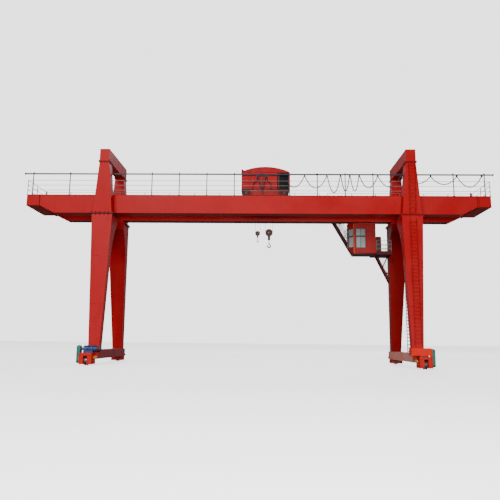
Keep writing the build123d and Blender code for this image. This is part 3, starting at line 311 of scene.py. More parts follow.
def painted(name, paint, faded, grime_and_shade=red_grime_and_shade, fading=0.6, streaks=0.3, blotches=0.45, dust=0.15,
            underside=0.75, waviness=0.3, gloss=0.2):
    """Weathered paint in two tones, whose grime colour is also painted as shade on downward faces."""
    values = {"Paint": paint, "Faded": faded, "Grime and Shade": grime_and_shade, "Fading": fading, "Streaks": streaks,
              "Blotches": blotches, "Dust": dust, "Underside Shade": underside}
    return new_material(name, paint_group, values, waviness, paint_relief, Specular_IOR_Level=gloss)


def fitting_paint(name, paint, faded, **more):
    """Smooth paint of a small part, with black grime that is also painted as shade on downward faces."""
    return painted(name, paint, faded, grime_and_shade=oil_black, waviness=0.1, **more)


def metal(name, tone, rusting=0.4, blotches=6.0):
    """Bare steel or bright trim, more or less rusty."""
    values = {"Steel": tone, "Rust": rust, "Rusting": rusting, "Blotches": blotches}
    return new_material(name, metal_group, values, 0.25, steel_relief, Metallic=0.75)


def dusty(name, base, film, amount=0.4, blotches=3.0):
    """Rubber, rope or oiled metal under a film of dust."""
    values = {"Base": base, "Film": film, "Amount": amount, "Blotches": blotches}
    return new_material(name, dusty_group, values, 0.2, film_relief, Specular_IOR_Level=0.3)


housing_paint_starts = (3.28, 3.34)
grease = (0.028, 0.006, 0.008, 1)
grease_reach = (1.15, 1.40)
grease_cover = 0.93


def base_colour(material):
    """A material's node tree, its shader and the socket that its colour comes from."""
    tree = material.node_tree
    shader = tree.nodes["Principled BSDF"]
    return tree, shader, shader.inputs["Base Color"].links[0].from_socket


def distance_from(tree, axis, middle):
    """How far a point lies from a place along one of the object's own axes."""
    place = tree.nodes.new("ShaderNodeTexCoord")
    split = tree.nodes.new("ShaderNodeSeparateXYZ")
    tree.links.new(place.outputs["Object"], split.inputs["Vector"])
    return combine(tree, "ABSOLUTE", combine(tree, "SUBTRACT", split.outputs[axis], middle), 0.0)


def freshen_housings(material):
    """Brighter paint on the wheel housings at the beam's ends, behind a soft edge."""
    tree, shader, worn = base_colour(material)
    fresh = tree.nodes.new("ShaderNodeGroup")
    fresh.node_tree = paint_group
    # The fresh paint also takes the grime colour on downward faces as painted shade.
    for label, value in {"Paint": red_bright, "Faded": red, "Fading": 0.6, "Streaks": 0.35, "Blotches": 2.0,
                         "Dust": 0.2, "Underside Shade": 0.8}.items():
        fresh.inputs[label].default_value = value
    mask = remap(tree, distance_from(tree, "Y", 0.0), *housing_paint_starts)
    tree.links.new(blend_colours(tree, mask, worn, fresh.outputs["Colour"]), shader.inputs["Base Color"])


def oil_frame_ends(material):
    """Black grease on the trolley's frame round its wheels, fading towards the middle."""
    tree, shader, clean = base_colour(material)
    frame_low, frame_high = box("trolley_frame")
    reach = distance_from(tree, "X", (frame_low[0] + frame_high[0]) / 2)
    ragged = combine(tree, "ADD", reach, combine(tree, "MULTIPLY", add_noise(tree, 5.0), 0.5))
    mask = combine(tree, "MULTIPLY", remap(tree, ragged, *grease_reach), grease_cover)
    tree.links.new(blend_colours(tree, mask, clean, grease), shader.inputs["Base Color"])


girder_paint = painted("girder_paint", red, red_faded, grime_and_shade=girder_grime_and_shade, streaks=0.14, underside=0.6,
                       gloss=0.1)
leg_paint = painted("leg_paint", red, red_faded, blotches=0.6, streaks=0.2, gloss=0.1)
# Darker copies of the leg paint for the far legs, which stand in shade: painted shade.
far_leg_shaded_paint = painted("far_leg_shaded_paint", (0.34, 0.003, 0.006, 1), (0.40, 0.006, 0.008, 1), blotches=0.5,
                       streaks=0.3, gloss=0.1)
far_right_leg_shaded_paint = painted("far_right_leg_shaded_paint", (0.21, 0.002, 0.003, 1), (0.26, 0.003, 0.005, 1), blotches=0.5,
                        streaks=0.3, gloss=0.1)
# A separate copy of the girder paint, brightened for the far girder and far upper legs to make up for the
# shade they lie in: painted light.
far_girder_brightened_paint = painted("far_girder_brightened_paint", (0.42, 0.005, 0.008, 1), (0.47, 0.009, 0.012, 1), streaks=0.2)
beam_paint = painted("ground_beam_paint", (0.24, 0.012, 0.016, 1), (0.31, 0.028, 0.030, 1), streaks=0.5,
                     dust=0.55)
worn_beam_paint = painted("worn_ground_beam_paint", (0.78, 0.12, 0.10, 1), beam_khaki, fading=0.75,
                          streaks=0.15, blotches=0.9, dust=0.45)
for paint in (beam_paint, worn_beam_paint):
    freshen_housings(paint)
house_paint = painted("house_paint", (0.36, 0.006, 0.009, 1), (0.42, 0.018, 0.020, 1), blotches=0.9,
                      streaks=0.4, waviness=0.9, gloss=0.1)
frame_paint = painted("frame_paint", (0.30, 0.008, 0.010, 1), red_deep, blotches=1.5, streaks=0.5,
                      underside=0.9)
oil_frame_ends(frame_paint)
cab_paint = painted("cab_paint", (0.28, 0.006, 0.007, 1), (0.34, 0.014, 0.012, 1), blotches=1.2, streaks=0.25)
stair_paint = painted("stair_paint", (0.065, 0.003, 0.006, 1), (0.11, 0.006, 0.009, 1), streaks=0.4)
ladder_paint = painted("ladder_paint", (0.30, 0.005, 0.004, 1), red, blotches=2.0, streaks=0.25)
access_paint = painted("access_ladder_paint", (0.050, 0.012, 0.010, 1), (0.09, 0.025, 0.02, 1), blotches=2.0)
joint_paint = painted("joint_paint", (0.050, 0.003, 0.003, 1), (0.085, 0.004, 0.004, 1), blotches=4.0)
railing_paint = painted("railing_paint", rail_grey, rail_grey_dull, grime_and_shade=rust, fading=0.7, streaks=0.15,
                        blotches=2.0, dust=0.05, underside=0.2, waviness=0.1)
post_paint = fitting_paint("post_paint", slate, slate_dusty, blotches=1.5, underside=0.3)
motor_paint = fitting_paint("motor_paint", motor_blue, motor_blue_dull, fading=0.8, streaks=0.4, blotches=5.0,
                            dust=0.1, gloss=0.8)
motor_cap_paint = fitting_paint("motor_cap_paint", motor_cap_maroon, red_deep, blotches=4.0)
gear_paint = fitting_paint("gear_paint", gear_teal, gear_teal_dull, fading=0.9, streaks=0.5, blotches=3.0,
                           dust=0.2)
hood_paint = painted("hood_paint", hood_orange, hood_orange_faded, fading=0.8, streaks=0.12, blotches=3.0,
                     dust=0.05, gloss=0.08)
buffer_paint = fitting_paint("buffer_paint", buffer_yellow, (0.74, 0.36, 0.06, 1), blotches=8.0)
block_paint = painted("block_paint", block_brown, (0.09, 0.022, 0.016, 1), grime_and_shade=oil_black, streaks=0.5,
                      blotches=3.0)
orange_trim = painted("orange_trim", post_orange, (0.54, 0.14, 0.03, 1), blotches=3.0, waviness=0.1)
bright_trim = painted("bright_trim", red_bright, red, blotches=2.0, waviness=0.1)
seam_paint = painted("seam_paint", (0.30, 0.005, 0.005, 1), red, blotches=2.0, streaks=0.4, waviness=0.1)
cabinet_paint = painted("cabinet_paint", (0.17, 0.045, 0.025, 1), (0.24, 0.09, 0.06, 1), blotches=2.0,
                        waviness=0.1)
pale_post_paint = painted("pale_post_paint", (0.42, 0.10, 0.085, 1), (0.50, 0.20, 0.17, 1), blotches=2.0,
                          waviness=0.1)
# Black paint for small fittings, also used for the painted shade inside the doorway.
black_and_shade_paint = fitting_paint("black_and_shade_paint", oil_black, rubber_black, dust=0.0, gloss=0.05)
wheel_steel = metal("wheel_steel", steel, rusting=0.55)
rail_steel = metal("rail_steel", (0.25, 0.24, 0.23, 1), rusting=0.7)
rope_steel = dusty("rope_steel", (0.030, 0.028, 0.026, 1), (0.09, 0.085, 0.08, 1), blotches=20.0)
bolt_metal = dusty("bolt_metal", (0.030, 0.010, 0.008, 1), bolt_ochre, amount=0.25, blotches=12.0)
pale_trim = metal("pale_trim", pale_metal, rusting=0.1)
cable_rubber = dusty("cable_rubber", rubber_black, (0.05, 0.06, 0.08, 1), blotches=2.0)
tow_rubber = dusty("tow_rubber", (0.050, 0.012, 0.012, 1), (0.09, 0.03, 0.03, 1), blotches=2.0)
gasket_rubber = dusty("gasket_rubber", (0.035, 0.040, 0.050, 1), (0.12, 0.14, 0.16, 1), amount=0.6)
window_glass = new_material("window_glass", dusty_group,
                            {"Base": glass_tint, "Film": glass_dust, "Amount": 0.5, "Blotches": 2.5},
                            0.05, film_relief, Transmission_Weight=0.7, Metallic=0.0, IOR=1.45)


# Finishes of the solids

node_finishes = {
    girder_paint: ["near_girder", "right_end_beam", "left_end_beam", "near_right_upper_leg",
                   "near_left_upper_leg", "right_portal_beam", "left_portal_beam"],
    far_girder_brightened_paint: ["far_girder", "far_right_upper_leg", "far_left_upper_leg"],
    leg_paint: ["near_right_leg", "near_left_leg"],
    far_leg_shaded_paint: ["far_left_leg"],
    far_right_leg_shaded_paint: ["far_right_leg"],
    beam_paint: ["left_ground_beam"],
    worn_beam_paint: ["right_ground_beam"],
    house_paint: ["trolley_house", "trolley_roof"],
    frame_paint: ["trolley_frame"],
    cab_paint: ["cab_body", "cab_door"],
    stair_paint: ["cab_stairs", "cab_platform", "platform_braces"],
    ladder_paint: ["leg_ladders"],
    railing_paint: ["near_railing", "far_railing", "cab_railings"],
    post_paint: ["festoon_posts", "festoon_track", "festoon_carriers", "trolley_lamp", "end_railings"],
    motor_paint: ["travel_motors"],
    gear_paint: ["travel_reducers"],
    hood_paint: ["drive_hood"],
    buffer_paint: ["buffers"],
    wheel_steel: ["near_right_wheel", "near_left_wheel", "far_right_wheel", "far_left_wheel",
                  "left_trolley_wheels", "right_trolley_wheels"],
    rail_steel: ["trolley_rails"],
    block_paint: ["main_block", "aux_block", "main_hook", "aux_hook"],
    rope_steel: ["main_ropes", "aux_ropes"],
    cable_rubber: ["festoon_cable", "tow_cables"],
    window_glass: ["cab_glass"],
}


def finish_solids():
    """Each solid takes its own material."""
    for material, names in node_finishes.items():
        for name in names:
            mesh = nodes[name].data
            mesh.materials.clear()
            mesh.materials.append(material)


finish_solids()


# Mesh tools

sharp_angle = math.radians(38)


def add_piece(name, work, body, material, smooth=True):
    """One finished piece from a working mesh, riding on a body when one is given."""
    mesh = bpy.data.meshes.new(name)
    work.to_mesh(mesh)
    work.free()
    if smooth:
        mesh.shade_smooth()
        mesh.set_sharp_from_angle(angle=sharp_angle)
    mesh.materials.append(material)
    piece = bpy.data.objects.new(name, mesh)
    bpy.context.scene.collection.objects.link(piece)
    if body:
        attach(piece, body)
    return piece


def ease_edges(work, verts, ease):
    """Rounds the edges of a block that was just made."""
    edges = {edge for vert in verts for edge in vert.link_edges}
    bmesh.ops.bevel(work, geom=list(edges), offset=ease, offset_type="OFFSET", segments=2, profile=0.5,
                    affect="EDGES")


def add_block(work, low, high, ease=0.004):
    """A plate or square bar with eased edges, from its lowest to its highest corner."""
    verts = bmesh.ops.create_cube(work, size=1.0)["verts"]
    for vert in verts:
        vert.co = Vector(a + (c + 0.5) * (b - a) for a, b, c in zip(low, high, vert.co))
    if ease:
        ease_edges(work, verts, ease)


def add_plate(work, one, other, ease):
    """A block between any two opposite corners."""
    add_block(work, [min(pair) for pair in zip(one, other)], [max(pair) for pair in zip(one, other)], ease)


def add_bar(work, start, end, width, depth, up=(0, 0, 1), ease=0.003):
    """A square bar between two points; its depth is measured towards "up"."""
    start, end = Vector(start), Vector(end)
    along = end - start
    side = along.cross(Vector(up)).normalized()
    top = side.cross(along).normalized()
    verts = bmesh.ops.create_cube(work, size=1.0)["verts"]
    for vert in verts:
        vert.co = (start + end) / 2 + along * vert.co.x + side * width * vert.co.y + top * depth * vert.co.z
    if ease:
        ease_edges(work, verts, ease)


def side_ways(axis):
    """Two directions square to an axis and to each other."""
    axis = Vector(axis).normalized()
    helper = Vector((0, 0, 1)) if abs(axis.z) < 0.9 else Vector((1, 0, 0))
    first = axis.cross(helper).normalized()
    return first, axis.cross(first)


def skin_rings(work, rings):
    """Faces from each ring of points to the next, and a cap at both ends."""
    for low, high in zip(rings, rings[1:]):
        for step in range(len(low)):
            after = (step + 1) % len(low)
            work.faces.new((low[step], low[after], high[after], high[step]))
    work.faces.new(list(reversed(rings[0])))
    work.faces.new(rings[-1])


def add_turned(work, base, axis, profile, sides=20):
    """A turned shape: pairs of distance along the axis and radius, spun round it, with closed ends."""
    axis = Vector(axis).normalized()
    first, second = side_ways(axis)
    rings = []
    for distance, radius in profile:
        centre = Vector(base) + axis * distance
        rings.append([work.verts.new(centre + (first * math.cos(turn) + second * math.sin(turn)) * radius)
                      for turn in (math.tau * step / sides for step in range(sides))])
    skin_rings(work, rings)


def scaled(profile, size):
    """A profile's distances and radii, given in shares of a size."""
    return [(distance * size, radius * size) for distance, radius in profile]


bolt_washer = ((-0.1, 1.3), (0.25, 1.3), (0.3, 1.2))
washer_share = 0.25
bolt_head = ((0, 1.0), (0.85, 1.0), (1.0, 0.8))
stud_washer = ((-0.1, 1.25), (0.25, 1.25), (0.3, 1.15))
stud_nut = ((0, 1.0), (1.9, 1.0), (2.0, 0.86))
stud_thread = ((1.0, 0.62), (3.3, 0.62), (3.4, 0.5))


def add_bolt(work, place, axis, size=0.02):
    """A washer and a hexagon head on it, standing on a face; size is the head's half width."""
    add_turned(work, place, axis, scaled(bolt_washer, size), 12)
    top = Vector(place) + Vector(axis).normalized() * size * washer_share
    add_turned(work, top, axis, scaled(bolt_head, size), 6)


def add_stud(work, place, axis, size=0.02):
    """A long hexagon nut and the threaded end through it, standing on a flange."""
    for profile, sides in ((stud_washer, 12), (stud_nut, 6), (stud_thread, 12)):
        add_turned(work, place, axis, scaled(profile, size), sides)


def add_tube(work, points, radius, sides=12, lobes=0, twist=0.0):
    """A round tube along points; with lobes it is a rope whose strands turn by "twist" a metre."""
    rings = []
    travelled = 0.0
    first = None
    for index, point in enumerate(points):
        ahead = points[min(index + 1, len(points) - 1)]
        behind = points[max(index - 1, 0)]
        along = (ahead - behind).normalized()
        if first is None:
            first = side_ways(along)[0]
        first = (first - along * first.dot(along)).normalized()
        second = along.cross(first)
        if index:
            travelled += (point - points[index - 1]).length
        ring = []
        for step in range(sides):
            turn = math.tau * step / sides
            reach = radius
            if lobes:
                reach = radius * (0.86 + 0.14 * abs(math.cos(turn * lobes / 2)))
                turn += twist * travelled
            ring.append(work.verts.new(point + (first * math.cos(turn) + second * math.sin(turn)) * reach))
        rings.append(ring)
    skin_rings(work, rings)


def row(start, end, count):
    """Even places from one number to another, both ends included."""
    return [start + (end - start) * step / (count - 1) for step in range(count)]


# Cable line: every hanging loop is its own length of cable between two clamps

track_low, track_high = box("festoon_track")
cable_y = (track_low[1] + track_high[1]) / 2
cable_radius = 0.034
cable_gap = 0.040
cable_end_x = 2.35
cable_end_z = 13.10
cable_span = 14.02
clamp_z = box("festoon_carriers")[0][2]
deepest_sag = 1.2
loop_lean = 0.24
carrier_shares = (0.083, 0.2, 0.271, 0.319, 0.368, 0.464, 0.583, 0.737, 0.872, 1.0)
loop_sag_shares = (0.708, 1.0, 0.892, 0.892, 0.683, 0.633, 0.442, 0.458, 0.625)
loop_lengths = (2.42, 2.65, 2.27, 2.28, 2.17, 2.30, 2.40, 2.19, 2.38)
first_sag = 0.27
first_lean = 0.06
first_rise = 0.34
tow_carriers = (0.085, 0.711)
tow_clamp_z = 13.604
tow_strands = (-0.255, 1.055)
tow_strand_z = 12.79
tow_sag = 0.9
tow_strand_lengths = (0.95, 0.95)


def smooth_route(controls):
    """The points of the smooth line that a row of control points gives."""
    curve = bpy.data.curves.new("route", "CURVE")
    curve.dimensions = "3D"
    curve.resolution_u = 14
    spline = curve.splines.new("NURBS")
    spline.points.add(len(controls) - 1)
    for point, place in zip(spline.points, controls):
        point.co = (*place, 1)
    spline.order_u = 3
    spline.use_endpoint_u = True
    holder = bpy.data.objects.new("route", curve)
    bpy.context.scene.collection.objects.link(holder)
    mesh = bpy.data.meshes.new_from_object(holder)
    points = [vert.co.copy() for vert in mesh.vertices]
    bpy.data.objects.remove(holder)
    bpy.data.meshes.remove(mesh)
    return points


def hang_cable(name, controls, body):
    """One length of round cable along its route, in place of the solid's cable."""
    points = smooth_route(controls)
    work = bmesh.new()
    add_tube(work, points, cable_radius, sides=14)
    piece = add_piece(name, work, body, tow_rubber if body else cable_rubber)
    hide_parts("tow_cables" if body else "festoon_cable")
    return piece


def loop_controls(x0, x1, top_z, sag):
    """Control points of one hanging loop between two clamps."""
    low_z = top_z - sag
    lean = (x1 - x0) * loop_lean
    return [(x0, cable_y, top_z), (x0 + lean, cable_y, low_z), (x1 - lean, cable_y, low_z),
            (x1, cable_y, top_z)]


carrier_places = [cable_end_x + cable_span * share for share in carrier_shares]


def follow_trolley(piece):
    """The piece's placement baked into its mesh."""
    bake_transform(piece)


def hang_cable_line():
    """The run to the trolley and the nine loops between the carriers."""
    first_low = cable_end_z - first_sag
    first_x = carrier_places[0] - cable_gap
    follow_trolley(hang_cable("cable_to_trolley", [
        (cable_end_x, cable_y, cable_end_z), (cable_end_x + first_lean, cable_y, first_low),
        (first_x - first_rise, cable_y, first_low), (first_x, cable_y, clamp_z)], None))
    loops = zip(carrier_places, carrier_places[1:], loop_sag_shares, loop_lengths)
    for number, (left, right, share, length) in enumerate(loops, start=1):
        controls = loop_controls(left + cable_gap, right - cable_gap, clamp_z, deepest_sag * share)
        follow_trolley(hang_cable(f"cable_loop_{number}", controls, None))


def hang_tow_cables():
    """The loop between the towed carriers and the two strands down to the trolley."""
    left, right = tow_carriers
    hang_cable("tow_loop", loop_controls(left + cable_gap, right - cable_gap, tow_clamp_z, tow_sag),
               "trolley")
    for carrier, x, side, length in zip(tow_carriers, tow_strands, (-1, 1), tow_strand_lengths):
        top_x = carrier + side * cable_gap
        middle = (tow_strand_z + tow_clamp_z) / 2
        hang_cable("tow_strand_left" if side < 0 else "tow_strand_right",
                   [(top_x, cable_y, tow_clamp_z), (top_x, cable_y, middle), (x, cable_y, middle),
                    (x, cable_y, tow_strand_z)], "trolley")


hang_cable_line()
hang_tow_cables()


carrier_plate_half = 0.055
carrier_plate_y = 0.020
carrier_roller_x = 0.034
carrier_roller_z = 0.088
carrier_roller_profile = ((0, 0.024), (0.012, 0.022), (0.016, 0.008))
saddle_z = 0.045
saddle_radius = 0.046
saddle_half_width = 0.036
clamp_half_length = 0.037
clamp_half_width = 0.040
clamp_heights = (-0.012, 0.028)
carrier_height = 0.135
towed_carrier_height = 0.118
end_clamp_half = (0.07, 0.045)
end_clamp_heights = (track_low[2] - 0.02, track_low[2] + 0.03)
tow_bar_z = tow_clamp_z + 0.09


def add_carrier(work, x, low_z, top_z):
    """A cable carrier: two side plates up to the track, four rollers and a rounded saddle with two clamps."""
    for side in (-1, 1):
        y = cable_y + side * carrier_plate_y
        add_block(work, (x - carrier_plate_half, y - 0.003, low_z + 0.02),
                  (x + carrier_plate_half, y + 0.003, top_z), 0.001)
        for place in (x - carrier_roller_x, x + carrier_roller_x):
            add_turned(work, (place, y - side * 0.002, low_z + carrier_roller_z), (0, side, 0),
                       carrier_roller_profile, 14)
    add_turned(work, (x, cable_y - saddle_half_width, low_z + saddle_z), (0, 1, 0),
               ((0, saddle_radius), (saddle_half_width * 2, saddle_radius)), 18)
    for clamp_x in (x - cable_gap, x + cable_gap):
        add_block(work, (clamp_x - clamp_half_length, cable_y - clamp_half_width, low_z + clamp_heights[0]),
                  (clamp_x + clamp_half_length, cable_y + clamp_half_width, low_z + clamp_heights[1]), 0.006)


def hang_carriers():
    """The carriers along the cable line, the fixed one at the cable's end and the two that are towed."""
    last_x = carrier_places[-1]
    work = bmesh.new()
    for x in carrier_places[:-1]:
        add_carrier(work, x, clamp_z, clamp_z + carrier_height)
    carriers = add_piece("cable_carriers", work, None, post_paint)
    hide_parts("festoon_carriers")
    follow_trolley(carriers)
    work = bmesh.new()
    add_carrier(work, last_x, clamp_z, clamp_z + carrier_height)
    add_block(work, (last_x - end_clamp_half[0], cable_y - end_clamp_half[1], end_clamp_heights[0]),
              (last_x + end_clamp_half[0], cable_y + end_clamp_half[1], end_clamp_heights[1]), 0.004)
    end_clamp = add_piece("cable_end_clamp", work, "gantry", post_paint)
    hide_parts("festoon_carriers")
    work = bmesh.new()
    for x in tow_carriers:
        add_carrier(work, x, tow_clamp_z, tow_clamp_z + towed_carrier_height)
    add_bar(work, *((x, cable_y, tow_bar_z) for x in tow_carriers), 0.012, 0.02)
    towed = add_piece("towed_carriers", work, "trolley", post_paint)
    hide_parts("tow_cables")


hang_carriers()


# Ropes and lifting blocks

sleeve_z = box("main_ropes")[1][2]
rope_radius = 0.012
rope_twist = 26.0
main_axis_z = 9.72
main_falls = (0.680, 1.220)
main_cheek_radius = 0.26
main_hook_z = 8.70
main_hook_bend = 0.11
aux_axis_z = 9.66
aux_falls = (-0.080, 0.270)
aux_cheek_radius = 0.165
aux_hook_z = 9.06
aux_hook_bend = 0.066


def reeve_ropes(name, falls, low_z):
    """Laid wire ropes: six-stranded, turning as they rise."""
    work = bmesh.new()
    for x in falls:
        points = [Vector((x, 0, z)) for z in row(low_z, sleeve_z, 72)]
        add_tube(work, points, rope_radius, sides=18, lobes=6, twist=rope_twist)
    ropes = add_piece(name, work, None, rope_steel)
    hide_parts(name.replace("_strands", "_ropes"))
    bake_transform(ropes)


reeve_ropes("main_strands", main_falls, main_axis_z)
reeve_ropes("aux_strands", aux_falls, aux_axis_z)


def dress_block(name, axis_z, radius, hook_z, bend, body):
    """Pin nuts, cheek bolts and a safety latch of a lifting block."""
    block_low, block_high = box(name)
    x = (block_low[0] + block_high[0]) / 2
    tongue_pin_z = block_low[2] + 0.09
    cheek_turns = row(math.radians(-30), math.radians(210), 5)
    work = bmesh.new()
    for side in (-1, 1):
        face = side * block_high[1]
        out = (0, side, 0)
        add_turned(work, (x, face, axis_z), out, ((-0.004, radius * 0.24), (0.006, radius * 0.24)), 24)
        add_turned(work, (x, face + side * 0.006, axis_z), out,
                   ((0, radius * 0.15), (0.028, radius * 0.15), (0.032, radius * 0.12)), 6)
        for turn in cheek_turns:
            spot = (x + math.cos(turn) * radius * 0.9, face, axis_z + math.sin(turn) * radius * 0.9)
            add_bolt(work, spot, out, radius * 0.06)
        add_turned(work, (x, face, tongue_pin_z), out, ((-0.004, 0.04), (0.02, 0.04), (0.024, 0.03)), 6)
    add_piece(name + "_pins", work, body, wheel_steel)
    latch_pivot = (x - bend * 1.15, 0, hook_z + bend * 1.75)
    latch_tip = (x + bend * 1.05, 0, hook_z + bend * 0.55)
    work = bmesh.new()
    add_bar(work, latch_pivot, latch_tip, bend * 0.34, bend * 0.09, ease=0.002)
    add_turned(work, (latch_pivot[0], -bend * 0.3, latch_pivot[2]), (0, 1, 0),
               ((0, bend * 0.14), (bend * 0.6, bend * 0.14)), 14)
    add_piece(name + "_latch", work, body, black_and_shade_paint)


dress_block("main_block", main_axis_z, main_cheek_radius, main_hook_z, main_hook_bend, "main_lifting_block")
dress_block("aux_block", aux_axis_z, aux_cheek_radius, aux_hook_z, aux_hook_bend, "aux_lifting_block")


# Bolted joints of the frame, drawn for the far right corner and carried to each corner by its two signs

corner_names = {(1, -1): "near_right", (-1, -1): "near_left", (1, 1): "far_right", (-1, 1): "far_left"}
end_names = {1: "right", -1: "left"}
leg_low, leg_high = box("far_right_leg")
portal_low, portal_high = box("right_portal_beam")
girder_low, girder_high = box("far_girder")

leg_plate = 0.040
leg_plate_outer_y = 2.430
leg_band_inner_y = 0.860
leg_band_proud = 0.005
leg_band_lap = 0.010
leg_band_width = 0.012
leg_band_depths = {1: 0.040, -1: 0.062}
leg_stud_inset = 0.035
leg_stud_inner_y = 0.960
leg_stud_count = 6
leg_stud_size = 0.030
girder_clear_y = 1.75

portal_plate = 0.035
portal_band_inner_y = 1.610
portal_band_proud = 0.003
portal_band_lap = 0.005
portal_band_width = 0.010
portal_band_depth = 0.044
portal_stud_inset = 0.028
portal_stud_inner_y = 1.640
portal_stud_count = 5
portal_stud_size = 0.022
portal_clear_half_x = 0.37

end_plates = 0.060
end_bolt_size = 0.021
end_low, end_high = box("right_end_beam")
end_side_bolt_y = end_high[1] - 0.025
end_side_bolt_heights = (end_low[2] + 0.115, end_high[2] - 0.06)
end_low_bolt_z = end_low[2] + 0.027
end_low_bolt_places = (0.92, 1.62)


def carry(signs, x, y, z):
    """A place of the far right corner, carried to the corner with these signs."""
    return (signs[0] * x, signs[1] * y, z)


def around_plate(x0, x1, y0, y1, count, skip_inner=False):
    """Bolt places in a row along a plate's edges; skip_inner leaves the edge nearer the middle line bare."""
    spots = [(x, y1) for x in row(x0, x1, count)]
    if not skip_inner:
        spots += [(x, y0) for x in row(x0, x1, count)]
    for y in row(y0, y1, count)[1:-1]:
        spots += [(x0, y), (x1, y)]
    return spots


def band_joint(work, signs, low, high, z, proud, lap, width, depth, inner_edge):
    """Dark bands along the edges of a joint's plates; low and high are its corners seen from above."""
    for x in (low[0] - proud, high[0] + proud):
        add_bar(work, carry(signs, x, low[1], z), carry(signs, x, high[1] + lap, z), width, depth)
    edges = (low[1] - proud, high[1] + proud) if inner_edge else (high[1] + proud,)
    for y in edges:
        add_bar(work, carry(signs, low[0] - lap, y, z), carry(signs, high[0] + lap, y, z), width, depth)


def bolt_leg_head(signs, corner, finish):
    """Studs round the plates on a leg's head, on top only beside the girder, and the plates' band."""
    joint_z = leg_high[2]
    work = bmesh.new()
    for x, y in around_plate(leg_low[0] + leg_stud_inset, leg_high[0] - leg_stud_inset, leg_stud_inner_y,
                             leg_plate_outer_y - leg_stud_inset, leg_stud_count, skip_inner=True):
        add_stud(work, carry(signs, x, y, joint_z - leg_plate), (0, 0, -1), leg_stud_size)
        if y > girder_clear_y:
            add_stud(work, carry(signs, x, y, joint_z + leg_plate), (0, 0, 1), leg_stud_size)
    add_piece(corner + "_leg_bolts", work, "gantry", finish)
    work = bmesh.new()
    band_joint(work, signs, (leg_low[0], leg_band_inner_y), (leg_high[0], leg_plate_outer_y), joint_z,
               leg_band_proud, leg_band_lap, leg_band_width, leg_band_depths[signs[0]], inner_edge=False)
    add_piece(corner + "_leg_joint_band", work, "gantry", joint_paint)


def bolt_portal(signs, corner, finish):
    """Studs round the plates under a portal beam, above them only outside the beam, and their band."""
    joint_z = portal_low[2]
    middle_x = (portal_low[0] + portal_high[0]) / 2
    work = bmesh.new()
    for x, y in around_plate(portal_low[0] + portal_stud_inset, portal_high[0] - portal_stud_inset,
                             portal_stud_inner_y, portal_high[1] - portal_stud_inset, portal_stud_count):
        add_stud(work, carry(signs, x, y, joint_z - portal_plate), (0, 0, -1), portal_stud_size)
        if abs(x - middle_x) > portal_clear_half_x:
            add_stud(work, carry(signs, x, y, joint_z + portal_plate), (0, 0, 1), portal_stud_size)
    add_piece(corner + "_portal_bolts", work, "gantry", finish)
    work = bmesh.new()
    band_joint(work, signs, (portal_low[0], portal_band_inner_y), (portal_high[0], portal_high[1]), joint_z,
               portal_band_proud, portal_band_lap, portal_band_width, portal_band_depth, inner_edge=True)
    add_piece(corner + "_portal_joint_band", work, "gantry", joint_paint)


def bolt_end_beams():
    """Bolts through the plates that join each end beam to the girders."""
    for side_x, name in end_names.items():
        work = bmesh.new()
        for face_x, look in ((girder_high[0], -1), (girder_high[0] + end_plates, 1)):
            for side_y in (-1, 1):
                for z in row(*end_side_bolt_heights, 8):
                    add_bolt(work, carry((side_x, side_y), face_x, end_side_bolt_y, z), (side_x * look, 0, 0),
                             end_bolt_size)
                for y in row(*end_low_bolt_places, 7):
                    add_bolt(work, carry((side_x, side_y), face_x, y, end_low_bolt_z), (side_x * look, 0, 0),
                             end_bolt_size)
        add_piece(name + "_end_bolts", work, "gantry", bolt_metal)


for signs, corner in corner_names.items():
    stud_finish = joint_paint if signs[0] < 0 else seam_paint
    bolt_leg_head(signs, corner, stud_finish)
    bolt_portal(signs, corner, stud_finish)
bolt_end_beams()


# Weld seams

seam_width = 0.022
web_bead = 0.008
leg_bead = 0.010
girder_seam_places = (-14.75, -12.6, -8.9, -5.35, -1.8, 1.75, 5.3, 8.85, 12.4, 14.75)
girder_flange_lip = 0.028
girder_seam_low_z = girder_low[2] + 0.03
taper_seam_low_z = girder_low[2] + 0.05
taper_seam_x = 14.7
girder_seam_high_z = girder_high[2] - 0.02
leg_seam_heights = (4.1, 7.48)
leg_foot_z = 1.03
leg_head_z = 10.58
leg_foot = (10.43, 11.16, 3.20)
leg_head = (10.28, 11.77, 2.36)
leg_seam_depth = 0.58
portal_lip = 0.060
portal_seam_places = (-1.2, 0.0, 1.2)
portal_seam_top_gap = 0.020


def add_bead(work, start, end, height, up):
    """A raised weld bead between two points, standing off the plate in the direction "up"."""
    add_bar(work, start, end, seam_width, height, up=up, ease=0.0025)


def weld_girders():
    """Upright beads where the web plates of each girder meet, on both of its sides."""
    for side_y, name in ((-1, "near"), (1, "far")):
        work = bmesh.new()
        for x in girder_seam_places:
            low_z = girder_seam_low_z if abs(x) < taper_seam_x else taper_seam_low_z
            for y, look in ((girder_high[1] - girder_flange_lip, 1), (girder_low[1] + girder_flange_lip, -1)):
                add_bead(work, (x, side_y * y, low_z), (x, side_y * y, girder_seam_high_z), web_bead,
                         (0, side_y * look, 0))
        add_piece(name + "_girder_seams", work, "gantry", seam_paint)


def leg_outline(z):
    """Inner x, outer x and outer y of the far right leg at a height."""
    share = (z - leg_foot_z) / (leg_head_z - leg_foot_z)
    return [foot + (head - foot) * share for foot, head in zip(leg_foot, leg_head)]


def weld_legs():
    """Beads round the outer three sides of each leg where its sheets meet."""
    for signs, corner in corner_names.items():
        work = bmesh.new()
        for z in leg_seam_heights:
            inner_x, outer_x, y = leg_outline(z)
            back_y = y - leg_seam_depth
            add_bead(work, carry(signs, inner_x, y, z), carry(signs, outer_x, y, z), leg_bead,
                     (0, signs[1], 0))
            for x in (outer_x, inner_x):
                add_bead(work, carry(signs, x, y, z), carry(signs, x, back_y, z), leg_bead, (signs[0], 0, 0))
        add_piece(corner + "_leg_seams", work, "gantry", seam_paint)


